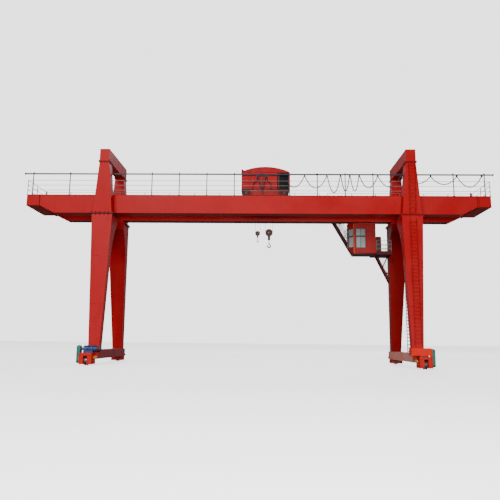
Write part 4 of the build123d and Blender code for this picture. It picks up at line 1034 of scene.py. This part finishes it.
def weld_portals():
    """Upright beads on both sides of each portal beam."""
    low_z = portal_low[2] + portal_lip
    high_z = portal_high[2] - portal_seam_top_gap
    for side_x, name in end_names.items():
        work = bmesh.new()
        for y in portal_seam_places:
            for x, look in ((portal_low[0] + portal_lip, -1), (portal_high[0] - portal_lip, 1)):
                add_bead(work, (side_x * x, y, low_z), (side_x * x, y, high_z), web_bead,
                         (side_x * look, 0, 0))
        add_piece(name + "_portal_seams", work, "gantry", seam_paint)


weld_girders()
weld_legs()
weld_portals()


# Walkway and cable line fittings

deck_z = girder_high[2]
post_pitch = 2.02
first_post_x = 0.40
single_post_places = (-13.76, 14.27, -16.5, 16.5)
shoe_outer_y = -1.665
shoe_inner_y = -1.555
shoe_half_length = 0.09
shoe_height = 0.012
shoe_bolt_y = -1.585
shoe_bolt_reach = 0.065
railing_pitch = 0.3667
railing_low_gap = 0.012
clip_half = 0.022
clip_outer_y = box("near_railing")[0][1]
clip_inner_y = -1.602
track_end_x = track_high[0] - 0.030
track_stop_half = 0.02
track_stop_half_width = 0.06
track_stop_lap = 0.030
rail_line_y = 1.26
rail_clip_reach = 0.052
rail_clip_half_length = 0.035
rail_clip_half_width = 0.022
rail_clip_height = 0.016
rail_clip_end_x = 15.5
rail_clip_count = 46


def fit_post_shoes():
    """A foot plate with two bolts under every post on the near girder, and rail clips on the posts."""
    posts = [first_post_x + post_pitch * step for step in range(-5, 5)]
    work = bmesh.new()
    for x in (*posts, *single_post_places):
        shoe_top = deck_z + shoe_height
        add_block(work, (x - shoe_half_length, shoe_outer_y, deck_z),
                  (x + shoe_half_length, shoe_inner_y, shoe_top), 0.002)
        for side in (-1, 1):
            add_bolt(work, (x + side * shoe_bolt_reach, shoe_bolt_y, shoe_top), (0, 0, 1), 0.011)
        for level in (1, 2, 3):
            z = deck_z - railing_low_gap + railing_pitch * level
            add_block(work, (x - clip_half, clip_outer_y, z - clip_half),
                      (x + clip_half, clip_inner_y, z + clip_half), 0.003)
    add_piece("near_post_shoes", work, "gantry", post_paint)


def fit_track_stops():
    """A bolted stop plate at each end of the cable track."""
    low_z, high_z = track_low[2] - track_stop_lap, track_high[2] + track_stop_lap
    work = bmesh.new()
    for side in (-1, 1):
        x = side * track_end_x
        add_block(work, (x - track_stop_half, cable_y - track_stop_half_width, low_z),
                  (x + track_stop_half, cable_y + track_stop_half_width, high_z), 0.003)
        add_bolt(work, (x + side * track_stop_half, cable_y, (low_z + high_z) / 2), (side, 0, 0), 0.006)
    add_piece("track_stops", work, "gantry", post_paint)


def clip_rails():
    """Pairs of clips with a bolt each that hold the trolley's rails down."""
    work = bmesh.new()
    clip_top = deck_z + rail_clip_height
    for side in (-1, 1):
        for x in row(-rail_clip_end_x, rail_clip_end_x, rail_clip_count):
            for edge in (-1, 1):
                y = side * rail_line_y + edge * rail_clip_reach
                add_block(work, (x - rail_clip_half_length, y - rail_clip_half_width, deck_z),
                          (x + rail_clip_half_length, y + rail_clip_half_width, clip_top), 0.002)
                add_bolt(work, (x, y + edge * 0.004, clip_top), (0, 0, 1), 0.010)
    add_piece("rail_clips", work, "gantry", wheel_steel)


fit_post_shoes()
fit_track_stops()
clip_rails()


# Platform, its ladder and the net under it

platform_z = 8.45
raised_walkway_z = 8.70
mesh_panels = ((9.17, 10.27, 0.977, platform_z), (9.13, 11.58, 3.073, platform_z),
               (7.60, 9.09, 2.923, raised_walkway_z))
mesh_low = 0.10
mesh_high = 0.90
stair_mesh_low = 0.12
stair_side_places = (2.285, 2.965)
stair_foot = (7.53, 8.75)
stair_head = (5.66, 12.10)
ladder_low, ladder_high = box("access_ladder")
stile_places = (11.667, 12.093)
stile_near_y = ladder_low[1] - 0.005
stile_far_y = ladder_high[1] + 0.005
stile_low_z = ladder_low[2]
stile_high_z = ladder_high[2]
rung_start_x = 11.665
rung_end_x = 12.095
rung_near_y = 2.688
rung_heights = (0.52, 9.10)
rung_count = 34
bracket_y = 2.700
bracket_places = ((2.5, 11.25), (5.2, 11.43))
net_y = 2.38
net_wire = 0.013
net_low_z = 6.62
net_high_z = 8.22
net_top_z = 8.29
net_start_x = 9.48
net_end_x = 10.34
net_leg_x = 10.36
brace_low, brace_high = box("platform_braces")
brace_top_x = brace_low[0]
brace_top_z = brace_high[2]
brace_half_depth = 0.13
brace_drop = brace_high[2] - brace_low[2]
brace_run = 0.98
strut_y = 2.41
strut_joint = (9.83, strut_y, 7.36)
strut_ends = ((10.26, strut_y, 8.29), (10.36, strut_y, 6.93))
strut_size = 0.085
strut_cross = ((9.83, 2.12, 7.33), (9.83, 2.64, 7.33))
strut_cross_size = 0.05


def add_mesh_panel(work, start, end, low, high, pitch=0.09, wire=0.005):
    """Welded wire between two floor points, from low to high above them."""
    start, end = Vector(start), Vector(end)
    length = (end - start).length
    for share in row(0.0, 1.0, max(2, round(length / pitch))):
        foot = start.lerp(end, share)
        add_bar(work, foot + Vector((0, 0, low)), foot + Vector((0, 0, high)), wire, wire, up=(0, 1, 0),
                ease=0)
    for lift in row(low, high, max(2, round((high - low) / pitch))):
        add_bar(work, start + Vector((0, 0, lift)), end + Vector((0, 0, lift)), wire, wire, up=(0, 1, 0),
                ease=0)


def fence_platform():
    """Wire infill of the railings round the cab, the raised walkway and the stair."""
    work = bmesh.new()
    for x0, x1, y, z in mesh_panels:
        add_mesh_panel(work, (x0, y, z), (x1, y, z), mesh_low, mesh_high)
    for y in stair_side_places:
        add_mesh_panel(work, (stair_foot[0], y, stair_foot[1]), (stair_head[0], y, stair_head[1]),
                       stair_mesh_low, mesh_high)
    add_piece("platform_mesh", work, "gantry", railing_paint, smooth=False)


def build_access_ladder():
    """The ladder up to the platform: two angle stiles, angle rungs and brackets back to the leg."""
    work = bmesh.new()
    for x in stile_places:
        add_block(work, (x - 0.008, stile_near_y, stile_low_z), (x + 0.008, stile_far_y, stile_high_z), 0.003)
        add_block(work, (x - 0.028, stile_near_y, stile_low_z),
                  (x + 0.028, stile_near_y + 0.008, stile_high_z), 0.003)
    for z in row(*rung_heights, rung_count):
        add_block(work, (rung_start_x, rung_near_y - 0.02, z - 0.024),
                  (rung_end_x, rung_near_y + 0.04, z - 0.016), 0.001)
        add_block(work, (rung_start_x, rung_near_y - 0.02, z - 0.034),
                  (rung_end_x, rung_near_y - 0.012, z + 0.030), 0.001)
    for z, leg_x in bracket_places:
        for lift in (-0.03, 0.03):
            add_bar(work, (leg_x - 0.02, bracket_y, z + lift), (stile_places[0], bracket_y, z + lift), 0.045,
                    0.010, ease=0.002)
        add_block(work, (leg_x - 0.012, bracket_y - 0.07, z - 0.09),
                  (leg_x + 0.006, bracket_y + 0.07, z + 0.09), 0.003)
        for shift in (-0.05, 0.05):
            add_bolt(work, (leg_x + 0.006, bracket_y + shift, z + 0.06), (1, 0, 0), 0.011)
    ladder = add_piece("platform_access_ladder", work, "gantry", access_paint)
    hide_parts("access_ladder")


def brace_edge_z(x):
    """Height of the brace's upper edge under the platform at a place along it."""
    return brace_top_z - (x - brace_top_x) * brace_drop / brace_run + brace_half_depth


def brace_edge_x(z):
    """Place of the brace's upper edge at a height."""
    return brace_top_x + (brace_top_z + brace_half_depth - z) * brace_run / brace_drop


def net_braces():
    """Wire net in the triangle between the braces, the platform and the leg, with two struts behind it."""
    work = bmesh.new()
    for x in row(net_start_x, net_end_x, 12):
        add_bar(work, (x, net_y, brace_edge_z(x)), (x, net_y, net_top_z), net_wire, net_wire, up=(0, 1, 0),
                ease=0)
    for z in row(net_low_z, net_high_z, 21):
        add_bar(work, (brace_edge_x(z), net_y, z), (net_leg_x, net_y, z), net_wire, net_wire, up=(0, 1, 0),
                ease=0)
    add_piece("brace_net", work, "gantry", railing_paint, smooth=False)
    work = bmesh.new()
    for end in strut_ends:
        add_bar(work, strut_joint, end, strut_size, strut_size, up=(0, 1, 0), ease=0.005)
    add_bar(work, *strut_cross, strut_cross_size, strut_cross_size, ease=0.005)
    add_piece("brace_struts", work, "gantry", stair_paint)


fence_platform()
build_access_ladder()
net_braces()


# Cab

cab_low, cab_high = box("cab_body")
door_low, door_high = box("cab_door")
cab_sides = ((cab_low[1], -1), (cab_high[1], 1))
cab_middle_y = (cab_low[1] + cab_high[1]) / 2
cab_chamfer = 0.38
chamfer_end_x = cab_low[0] + cab_chamfer
side_window = (7.62, 8.30)
side_window_levels = ((8.80, 9.62), (9.73, 10.25))
front_window_half = 0.21
front_window_levels = ((8.85, 9.62), (9.73, 10.25))
window_ease = 0.005
side_bar = 0.035
side_bar_proud = 0.018
side_bar_buried = 0.030
slide_bar_half = 0.012
slide_bar_back = 0.008
front_bar = 0.030
front_bar_half_depth = 0.015
chamfer_bar_shares = (0.07, 0.93)
chamfer_bar_proud = 0.006
chamfer_bar_inset = 0.02
corner_trim_heights = (cab_low[2] + 0.02, cab_high[2] - 0.13)
sill_heights = (cab_low[2] - 0.015, cab_low[2] + 0.075)
sill_proud = 0.020
sill_buried = 0.012
sill_end_x = (9.105, 9.135)
roof_trim_z = cab_high[2] - 0.125
roof_trim_proud = 0.015
roof_trim_slant = 0.39
roof_trim_lap = 0.010
hinge_x = door_high[0] + 0.013
hinge_heights = (door_low[2] + 0.25, door_high[2] - 0.25)
hinge_half_length = 0.07
hinge_profile = ((0, 0.012), (0.004, 0.016), (0.136, 0.016), (0.14, 0.012))
lock_y = door_high[1] - 0.10
lock_z = 9.30
handle_x = door_high[0] + 0.04
cabinet_x = (9.24, 9.60)
cabinet_y = (1.30, 1.90)
cabinet_top_z = 9.73
cabinet_wall = 0.030
cabinet_panel_half = 0.020
slat_heights = (8.55, 9.66)
slat_count = 15
slat_inset = 0.020


def surround(u0, u1, low, high, side, lip):
    """The four bars round an opening, each as its lowest and highest corner in the opening's own plane."""
    return (((u0 - side, low - lip), (u0, high + lip)), ((u1, low - lip), (u1 + side, high + lip)),
            ((u0, low - lip), (u1, low)), ((u0, high), (u1, high + lip)))


def frame_side_window(work, y, look, low, high):
    """A rubber frame round an opening in a long side, with a slim sliding bar in the middle."""
    x0, x1 = side_window
    inner, outer = sorted((y - look * side_bar_buried, y + look * side_bar_proud))
    for (left, bottom), (right, top) in surround(x0, x1, low, high, side_bar, side_bar):
        add_block(work, (left, inner, bottom), (right, outer, top), window_ease)
    middle = (x0 + x1) / 2
    add_block(work, (middle - slide_bar_half, inner, low),
              (middle + slide_bar_half, outer - look * slide_bar_back, high), 0.003)


def frame_front_window(work, low, high):
    """A rubber frame round an opening in the short front face."""
    near_y, far_y = cab_middle_y - front_window_half, cab_middle_y + front_window_half
    for (y0, bottom), (y1, top) in surround(near_y, far_y, low, high, side_bar, front_bar):
        add_block(work, (cab_low[0] - front_bar_half_depth, y0, bottom),
                  (cab_low[0] + front_bar_half_depth, y1, top), window_ease)


def frame_chamfer_window(work, corner_y, look, low, high):
    """Upright and level bars round an opening in one of the slanted faces beside the front."""
    for share in chamfer_bar_shares:
        x = cab_low[0] + cab_chamfer * share - chamfer_bar_proud
        y = corner_y - look * (cab_chamfer * (1 - share) - chamfer_bar_proud)
        add_bar(work, (x, y, low - front_bar), (x, y, high + front_bar), side_bar, front_bar,
                up=(1, -look, 0))
    front = (cab_low[0] + chamfer_bar_inset, corner_y - look * (cab_chamfer - chamfer_bar_inset))
    back = (chamfer_end_x - chamfer_bar_inset, corner_y - look * chamfer_bar_inset)
    for z in (low - front_bar / 2, high + front_bar / 2):
        add_bar(work, (*front, z), (*back, z), front_bar, front_bar)


def frame_cab_windows():
    """Rubber frames round all of the cab's windows."""
    work = bmesh.new()
    for low, high in side_window_levels:
        for y, look in cab_sides:
            frame_side_window(work, y, look, low, high)
    for low, high in front_window_levels:
        frame_front_window(work, low, high)
        for corner_y, look in cab_sides:
            frame_chamfer_window(work, corner_y, look, low, high)
    add_piece("cab_window_frames", work, "gantry", gasket_rubber)


def trim_cab_corners():
    """Orange strips where the slanted faces meet the long sides."""
    low_z, high_z = corner_trim_heights
    work = bmesh.new()
    for y, look in cab_sides:
        strip_y = y + look * 0.004
        add_bar(work, (chamfer_end_x, strip_y, low_z), (chamfer_end_x, strip_y, high_z), 0.07, 0.03,
                up=(0, 1, 0), ease=0.008)
    add_piece("cab_corner_trim", work, "gantry", orange_trim)


def fit_cab_sill():
    """Sills along the foot of the long sides and of the back wall beside the door."""
    low_z, high_z = sill_heights
    work = bmesh.new()
    for y, look in cab_sides:
        add_plate(work, (chamfer_end_x, y + look * sill_proud, low_z),
                  (cab_high[0] + 0.015, y - look * sill_buried, high_z), 0.005)
    add_plate(work, (sill_end_x[0], cab_low[1] - sill_proud, low_z),
              (sill_end_x[1], door_low[1] - 0.03, high_z), 0.005)
    add_piece("cab_sill", work, "gantry", stair_paint)


def trim_cab_roof():
    """A bright strip round the edge of the roof."""
    near_y, far_y = cab_low[1] - roof_trim_proud, cab_high[1] + roof_trim_proud
    front_x, back_x = cab_low[0] - roof_trim_proud, cab_high[0] + roof_trim_proud
    slant_x = chamfer_end_x - roof_trim_lap
    front_near, front_far = (front_x, near_y + roof_trim_slant), (front_x, far_y - roof_trim_slant)
    lines = (((slant_x, near_y), (cab_high[0] + roof_trim_lap, near_y)),
             ((slant_x, far_y), (cab_high[0] + roof_trim_lap, far_y)),
             (front_near, (slant_x, near_y)), (front_far, (slant_x, far_y)), (front_near, front_far),
             ((back_x, near_y - roof_trim_lap), (back_x, far_y + roof_trim_lap)))
    work = bmesh.new()
    for start, end in lines:
        add_bar(work, (*start, roof_trim_z), (*end, roof_trim_z), 0.035, 0.05, ease=0.008)
    add_piece("cab_roof_trim", work, "gantry", bright_trim)


def fit_cab_door():
    """Two hinge barrels, a lock plate and a lever handle on the cab's door."""
    work = bmesh.new()
    for z in hinge_heights:
        add_turned(work, (hinge_x, door_low[1], z - hinge_half_length), (0, 0, 1), hinge_profile, 14)
    add_block(work, (9.095, lock_y - 0.04, lock_z - 0.14), (9.112, lock_y + 0.04, lock_z + 0.10), 0.003)
    add_turned(work, (9.110, lock_y, lock_z), (1, 0, 0), ((0, 0.012), (0.035, 0.012)), 12)
    add_bar(work, (handle_x, lock_y, lock_z), (handle_x, lock_y - 0.14, lock_z), 0.018, 0.018, ease=0.006)
    add_piece("cab_door_fittings", work, "gantry", pale_trim)


def build_slatted_cabinet():
    """A cabinet behind the cab: two walls, a lid, a middle panel and slanted slats on both sides."""
    (x0, x1), (y0, y1) = cabinet_x, cabinet_y
    middle_y = (y0 + y1) / 2
    wall_top_z = cabinet_top_z - 0.01
    work = bmesh.new()
    for wall_x in (x0, x1 - cabinet_wall):
        add_block(work, (wall_x, y0, platform_z), (wall_x + cabinet_wall, y1, wall_top_z), 0.004)
    add_block(work, (x0, y0, cabinet_top_z - cabinet_wall), (x1, y1, cabinet_top_z), 0.004)
    add_block(work, (x0 + 0.02, middle_y - cabinet_panel_half, platform_z + 0.01),
              (x1 - 0.02, middle_y + cabinet_panel_half, cabinet_top_z - 0.02), 0.003)
    for z in row(*slat_heights, slat_count):
        for y, look in ((y0 + slat_inset, -1), (y1 - slat_inset, 1)):
            add_bar(work, (x0 + 0.01, y, z), (x1 - 0.01, y, z), 0.012, 0.055, up=(0, look * 0.6, 0.8),
                    ease=0.002)
    add_piece("slatted_cabinet", work, "gantry", cabinet_paint)


frame_cab_windows()
trim_cab_corners()
fit_cab_sill()
trim_cab_roof()
fit_cab_door()
build_slatted_cabinet()


# Trolley house

house_low, house_high = box("trolley_house")
roof_low, roof_high = box("trolley_roof")
lamp_low, lamp_high = box("trolley_lamp")
house_side_y = house_high[1]
house_middle_x = (roof_low[0] + roof_high[0]) / 2
roof_half_length = (roof_high[0] - roof_low[0]) / 2
roof_rise = roof_high[2] - roof_low[2]
roof_radius = (roof_half_length ** 2 + roof_rise ** 2) / (2 * roof_rise)
roof_seam_places = (-0.55, 0.05, 0.645, 1.24, 1.84)
roof_edge_inset = 0.010
rib_heights = (house_low[2] + 0.04, house_high[2] - 0.03)
rib_width = 0.045
rib_depth = 0.014
side_rib_places = (-1.07, 1.18, 6)
end_rib_places = (-0.96, 0.96, 5)
house_sill_heights = (house_low[2] - 0.005, house_low[2] + 0.045)
house_sill_proud = 0.012
doorway = (1.515, 2.345)
doorway_heights = (house_low[2] + 0.05, house_high[2] - 0.05)
doorway_depth = (-1.456, -1.428)
doorway_post = (1.622, 1.648)
doorway_shade_sheet = (1.575, 2.355)
shade_sheet_heights = (house_low[2] + 0.01, house_high[2] - 0.02)
lamp_profile = ((0, 0.075), (0.03, 0.075), (0.034, 0.066), (0.09, 0.066), (0.095, 0.070), (0.19, 0.064),
                (0.225, 0.045), (0.235, 0.012))
lamp_cage_radius = 0.074
lamp_cage_height = 0.20


def roof_height(x):
    """Height of the roof's outer face over a place along the house."""
    return roof_high[2] - roof_radius + math.sqrt(roof_radius ** 2 - (x - house_middle_x) ** 2)


def seam_roof():
    """Standing seams across the arched roof and a rolled edge along both of its rims."""
    reach = roof_half_length - roof_edge_inset
    rim_places = row(house_middle_x - reach, house_middle_x + reach, 25)
    work = bmesh.new()
    for y in (roof_low[1], roof_high[1]):
        edge = [Vector((x, y, roof_height(x) - 0.012)) for x in rim_places]
        for start, end in zip(edge, edge[1:]):
            add_bar(work, start, end, 0.022, 0.045, ease=0)
    for x in roof_seam_places:
        z = roof_height(x) + 0.004
        add_bar(work, (x, roof_low[1] + 0.002, z), (x, roof_high[1] - 0.002, z), 0.026, 0.022)
    add_piece("roof_seams", work, "trolley", house_paint)


def rib_house():
    """Pressed ribs on the four walls."""
    low_z, high_z = rib_heights
    spots = [((x, look * house_side_y), (0, look, 0)) for x in row(*side_rib_places) for look in (-1, 1)]
    spots += [((x, y), (look, 0, 0)) for y in row(*end_rib_places)
              for x, look in ((house_low[0], -1), (house_high[0], 1))]
    work = bmesh.new()
    for foot, up in spots:
        add_bar(work, (*foot, low_z), (*foot, high_z), rib_width, rib_depth, up=up, ease=0.004)
    add_piece("house_ribs", work, "trolley", house_paint)


def fit_house_sill():
    """A dark sill round the foot of the walls."""
    low_z, high_z = house_sill_heights
    outer_y = house_side_y + house_sill_proud
    work = bmesh.new()
    for y in (-outer_y, outer_y - 0.014):
        add_block(work, (house_low[0] - 0.010, y, low_z), (house_high[0] + 0.010, y + 0.014, high_z), 0.003)
    for x in (house_low[0] - 0.014, house_high[0]):
        add_block(work, (x, -outer_y, low_z), (x + 0.024, outer_y, high_z), 0.003)
    add_piece("house_sill", work, "trolley", stair_paint)


def frame_doorway():
    """Frame, pale post with its two hinges, and a black sheet behind the open doorway as painted shade of the
    house's inside.
    """
    (x0, x1), (low_z, high_z), (outer_y, inner_y) = doorway, doorway_heights, doorway_depth
    work = bmesh.new()
    bars = ((x0, low_z, 1.570, high_z), (2.300, low_z, x1, high_z),
            (x0, 13.88, x1, high_z), (x0, low_z, x1, 12.75))
    for start_x, start_z, end_x, end_z in bars:
        add_block(work, (start_x, outer_y, start_z), (end_x, inner_y, end_z), 0.004)
    add_piece("doorway_frame", work, "trolley", black_and_shade_paint)
    work = bmesh.new()
    add_block(work, (doorway_post[0], -1.462, 12.74), (doorway_post[1], -1.430, 13.89), 0.004)
    for z in (12.95, 13.65):
        add_turned(work, (sum(doorway_post) / 2, -1.466, z - 0.05), (0, 0, 1), ((0, 0.010), (0.1, 0.010)), 12)
    add_piece("doorway_post", work, "trolley", pale_post_paint)
    # A black sheet just inside the doorway stands in for the dark inside of the house: painted shade.
    work = bmesh.new()
    add_block(work, (doorway_shade_sheet[0], -1.385, shade_sheet_heights[0]),
              (doorway_shade_sheet[1], -1.375, shade_sheet_heights[1]), 0.002)
    add_bar(work, (doorway_shade_sheet[0] + 0.015, -1.392, 13.30), (doorway_shade_sheet[1] - 0.015, -1.392, 13.30),
            0.03, 0.012, up=(0, -1, 0), ease=0.002)
    add_piece("doorway_shade_sheet", work, "trolley", black_and_shade_paint)


def guard_lamp():
    """The lamp on the roof's corner inside its cage of eight bars."""
    lamp = ((lamp_low[0] + lamp_high[0]) / 2, (lamp_low[1] + lamp_high[1]) / 2, roof_low[2])
    work = bmesh.new()
    add_turned(work, lamp, (0, 0, 1), lamp_profile, 24)
    for turn in row(0, math.tau, 9)[:-1]:
        out = Vector((math.cos(turn), math.sin(turn), 0))
        spot = Vector(lamp) + out * lamp_cage_radius + Vector((0, 0, 0.02))
        add_bar(work, spot, spot + Vector((0, 0, lamp_cage_height)), 0.008, 0.008, up=(0, 1, 0), ease=0)
    piece = add_piece("lamp_guard", work, "trolley", black_and_shade_paint)
    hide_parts("trolley_lamp")


seam_roof()
rib_house()
fit_house_sill()
frame_doorway()
guard_lamp()


# Ground corners: axle covers, buffer rings and the two travel drives

beam_low, beam_high = box("right_ground_beam")
buffer_low, buffer_high = box("buffers")
gear_low, gear_high = box("travel_reducers")
wheel_low, wheel_high = box("far_right_wheel")
axle_y = (wheel_low[1] + wheel_high[1]) / 2
axle_z = (wheel_low[2] + wheel_high[2]) / 2
housing_inner_x = 10.59
housing_outer_x = beam_high[0]
axle_cover_profile = ((-0.004, 0.125), (0.014, 0.125), (0.018, 0.118), (0.020, 0.075), (0.045, 0.070),
                      (0.050, 0.060))
axle_bolt_ring = 0.098
end_cover_places = (10.72, 11.28)
end_cover_half = 0.10
end_cover_depth = (beam_high[1] - 0.004, beam_high[1] + 0.008)
end_cover_heights = (0.66, 0.78)
buffer_x = buffer_high[0] - 0.095
buffer_z = (buffer_low[2] + buffer_high[2]) / 2
buffer_parts = ((0.045, ((0, 0.094), (0.02, 0.094), (0.024, 0.088)), 28),
                (0.004, ((0, 0.040), (0.008, 0.038), (0.010, 0.030)), 20))
drive_y = -axle_y
motor_z = 1.08
fin_ring = 0.206
fin_turns = (math.radians(-35), math.radians(215), 19)
fin_ends = (10.36, 11.06)
terminal_box = ((10.58, -4.075, 1.02), (10.84, -3.985, 1.18))
motor_flange_x = 11.10
motor_flange_profile = ((0, 0.205), (0.02, 0.216), (0.07, 0.216), (0.10, 0.19), (0.13, 0.12))
motor_bolt_ring = 0.17
fan_x = 10.33
fan_profile = ((0, 0.210), (0.16, 0.214), (0.20, 0.195), (0.215, 0.06))
fan_grille_x = 10.122
gear_cover_heights = ((0.92, 1.26), (0.20, 0.56))
gear_cover_halves = (0.175, 0.165)
gear_bolt_places = (-3.95, -3.80, -3.65)
gear_rim = ((11.405, -4.022, 0.715), (11.662, -3.578, 0.755))
gear_shaft_profile = ((0, 0.030), (0.012, 0.030), (0.016, 0.018), (0.03, 0.016))
breather_place = (11.535, -3.9, 1.30)
breather_profile = ((0, 0.028), (0.02, 0.028), (0.024, 0.018), (0.04, 0.022), (0.05, 0.014))


def round_x(centre, radius, count):
    """Even places on a circle that faces along X."""
    turns = row(0, math.tau, count + 1)[:-1]
    return [Vector(centre) + Vector((0, math.cos(turn), math.sin(turn))) * radius for turn in turns]


def cover_axles(signs, corner):
    """Round bolted covers over the axle's ends, but for the one that the drive hides, and two flat ones."""
    faces = ((housing_inner_x, -1),) if signs[1] < 0 else ((housing_inner_x, -1), (housing_outer_x, 1))
    work = bmesh.new()
    for x, look in faces:
        out = (signs[0] * look, 0, 0)
        add_turned(work, carry(signs, x, axle_y, axle_z), out, axle_cover_profile, 28)
        for spot in round_x(carry(signs, x + look * 0.016, axle_y, axle_z), axle_bolt_ring, 8):
            add_bolt(work, spot, out, 0.009)
    low_z, high_z = end_cover_heights
    for x in end_cover_places:
        add_plate(work, carry(signs, x - end_cover_half, end_cover_depth[0], low_z),
                  carry(signs, x + end_cover_half, end_cover_depth[1], high_z), 0.003)
        for shift in (-0.07, 0.07):
            add_bolt(work, carry(signs, x + shift, end_cover_depth[1] - 0.001, (low_z + high_z) / 2),
                     (0, signs[1], 0), 0.010)
    add_piece(corner + "_axle_covers", work, "gantry", bright_trim)


def ring_buffer(signs, corner):
    """Rubber rim and middle boss of a buffer."""
    work = bmesh.new()
    for back, profile, sides in buffer_parts:
        add_turned(work, carry(signs, buffer_x, buffer_high[1] - back, buffer_z), (0, signs[1], 0), profile,
                   sides)
    add_piece(corner + "_buffer_ring", work, "gantry", cable_rubber)


def fin_motor(side, name):
    """Cooling fins, terminal box and bolted end flange of a travel motor."""
    work = bmesh.new()
    for turn in row(*fin_turns):
        out = Vector((0, math.cos(turn), math.sin(turn)))
        spot = Vector((0, drive_y, motor_z)) + out * fin_ring
        ends = [spot + Vector((side * x, 0, 0)) for x in fin_ends]
        add_bar(work, *ends, 0.008, 0.030, up=out, ease=0.0015)
    add_plate(work, *(carry((side, 1), *place) for place in terminal_box), 0.012)
    add_turned(work, (side * motor_flange_x, drive_y, motor_z), (side, 0, 0), motor_flange_profile, 32)
    for spot in round_x((side * (motor_flange_x + 0.07), drive_y, motor_z), motor_bolt_ring, 8):
        add_bolt(work, spot, (side, 0, 0), 0.010)
    add_piece(name + "_motor_fins", work, "gantry", motor_paint)


def cover_fan(side, name):
    """The cowl over a motor's fan, with the spokes of its grille."""
    work = bmesh.new()
    add_turned(work, (side * fan_x, drive_y, motor_z), (-side, 0, 0), fan_profile, 32)
    hub = (side * fan_grille_x, drive_y, motor_z)
    for start, end in zip(round_x(hub, 0.06, 12), round_x(hub, 0.185, 12)):
        add_bar(work, start, end, 0.010, 0.010, up=(side, 0, 0), ease=0.002)
    add_piece(name + "_fan_cover", work, "gantry", motor_cap_paint)


def cover_gears(side, name):
    """Bolted covers, the split rim, the shaft's end and the breather of a gear case."""
    face = side * gear_high[0]
    work = bmesh.new()
    for (low_z, high_z), half in zip(gear_cover_heights, gear_cover_halves):
        add_plate(work, (face - side * 0.004, drive_y - half, low_z),
                  (face + side * 0.014, drive_y + half, high_z), 0.006)
    add_plate(work, *(carry((side, 1), *place) for place in gear_rim), 0.005)
    for low_z, high_z in gear_cover_heights:
        for y in gear_bolt_places:
            for z in (low_z + 0.025, high_z - 0.025):
                add_bolt(work, (face + side * 0.012, y, z), (side, 0, 0), 0.010)
    add_turned(work, (face, drive_y, 0.64), (side, 0, 0), gear_shaft_profile, 16)
    add_turned(work, carry((side, 1), *breather_place), (0, 0, 1), breather_profile, 16)
    add_piece(name + "_gear_covers", work, "gantry", gear_paint)


for signs, corner in corner_names.items():
    cover_axles(signs, corner)
    ring_buffer(signs, corner)
for side, name in end_names.items():
    fin_motor(side, name)
    cover_fan(side, name)
    cover_gears(side, name)


# Light and floor

floor_reach = 260.0
floor_dust = (0.86, 0.86, 0.87, 1)
floor_glow = 1.6
floor_bounce = (0.16, 0.16, 0.16, 1)
backdrop_strength = 2.6
sky_white = (0.93, 0.97, 1.0, 1)
sky_strength = 0.5
crane_middle = (0, 0, 8)


def add_area_light(name, place, size, power, colour):
    """A soft light on the middle of the crane."""
    data = bpy.data.lights.new(name, "AREA")
    data.shape = "RECTANGLE"
    data.size, data.size_y = size
    data.energy = power
    data.color = colour
    light = bpy.data.objects.new(name, data)
    light.location = place
    light.rotation_euler = (Vector(crane_middle) - Vector(place)).to_track_quat("-Z", "Y").to_euler()
    bpy.context.scene.collection.objects.link(light)


def split_for_camera(tree, lighting, seen, output):
    """The output takes one shader where the camera looks and the other for the light on the crane."""
    rays = tree.nodes.new("ShaderNodeLightPath")
    choice = tree.nodes.new("ShaderNodeMixShader")
    tree.links.new(rays.outputs["Is Camera Ray"], choice.inputs["Fac"])
    tree.links.new(lighting, choice.inputs[1])
    tree.links.new(seen, choice.inputs[2])
    tree.links.new(choice.outputs["Shader"], tree.nodes[output].inputs["Surface"])


def add_floor():
    """A plain pale floor under the wheels, bright for the camera and dimmer for the steel."""
    corners = [(-1, -1), (1, -1), (1, 1), (-1, 1)]
    mesh = bpy.data.meshes.new("floor")
    mesh.from_pydata([(x * floor_reach, y * floor_reach, 0) for x, y in corners], [], [(0, 1, 2, 3)])
    floor = bpy.data.objects.new("floor", mesh)
    bpy.context.scene.collection.objects.link(floor)
    material = new_material("floor_finish", dusty_group,
                            {"Base": floor_white, "Film": floor_dust, "Amount": 0.3, "Blotches": 0.2},
                            0.02, film_relief)
    tree = material.node_tree
    pale = tree.nodes["Principled BSDF"]
    pale.inputs["Emission Color"].default_value = (1, 1, 1, 1)
    pale.inputs["Emission Strength"].default_value = floor_glow
    dim = tree.nodes.new("ShaderNodeBsdfDiffuse")
    dim.inputs["Color"].default_value = floor_bounce
    split_for_camera(tree, dim.outputs["BSDF"], pale.outputs["BSDF"], "Material Output")
    mesh.materials.append(material)


def add_world():
    """A white studio: bright where the camera sees it, and a soft even light on the crane."""
    world = bpy.data.worlds.new("studio")
    bpy.context.scene.world = world
    world.use_nodes = True
    tree = world.node_tree
    seen = tree.nodes["Background"]
    seen.inputs["Color"].default_value = (1.0, 1.0, 1.0, 1)
    seen.inputs["Strength"].default_value = backdrop_strength
    lighting = tree.nodes.new("ShaderNodeBackground")
    lighting.inputs["Color"].default_value = sky_white
    lighting.inputs["Strength"].default_value = sky_strength
    split_for_camera(tree, lighting.outputs["Background"], seen.outputs["Background"], "World Output")


add_floor()
add_world()
add_area_light("key_light", (-22, -64, 42), (26, 20), 31000, (1.0, 0.99, 0.96))
add_area_light("front_light", (3, -46, 5), (16, 8), 11000, (1.0, 0.99, 0.98))
add_area_light("back_light", (14, 58, 52), (26, 18), 17000, (0.97, 0.98, 1.0))
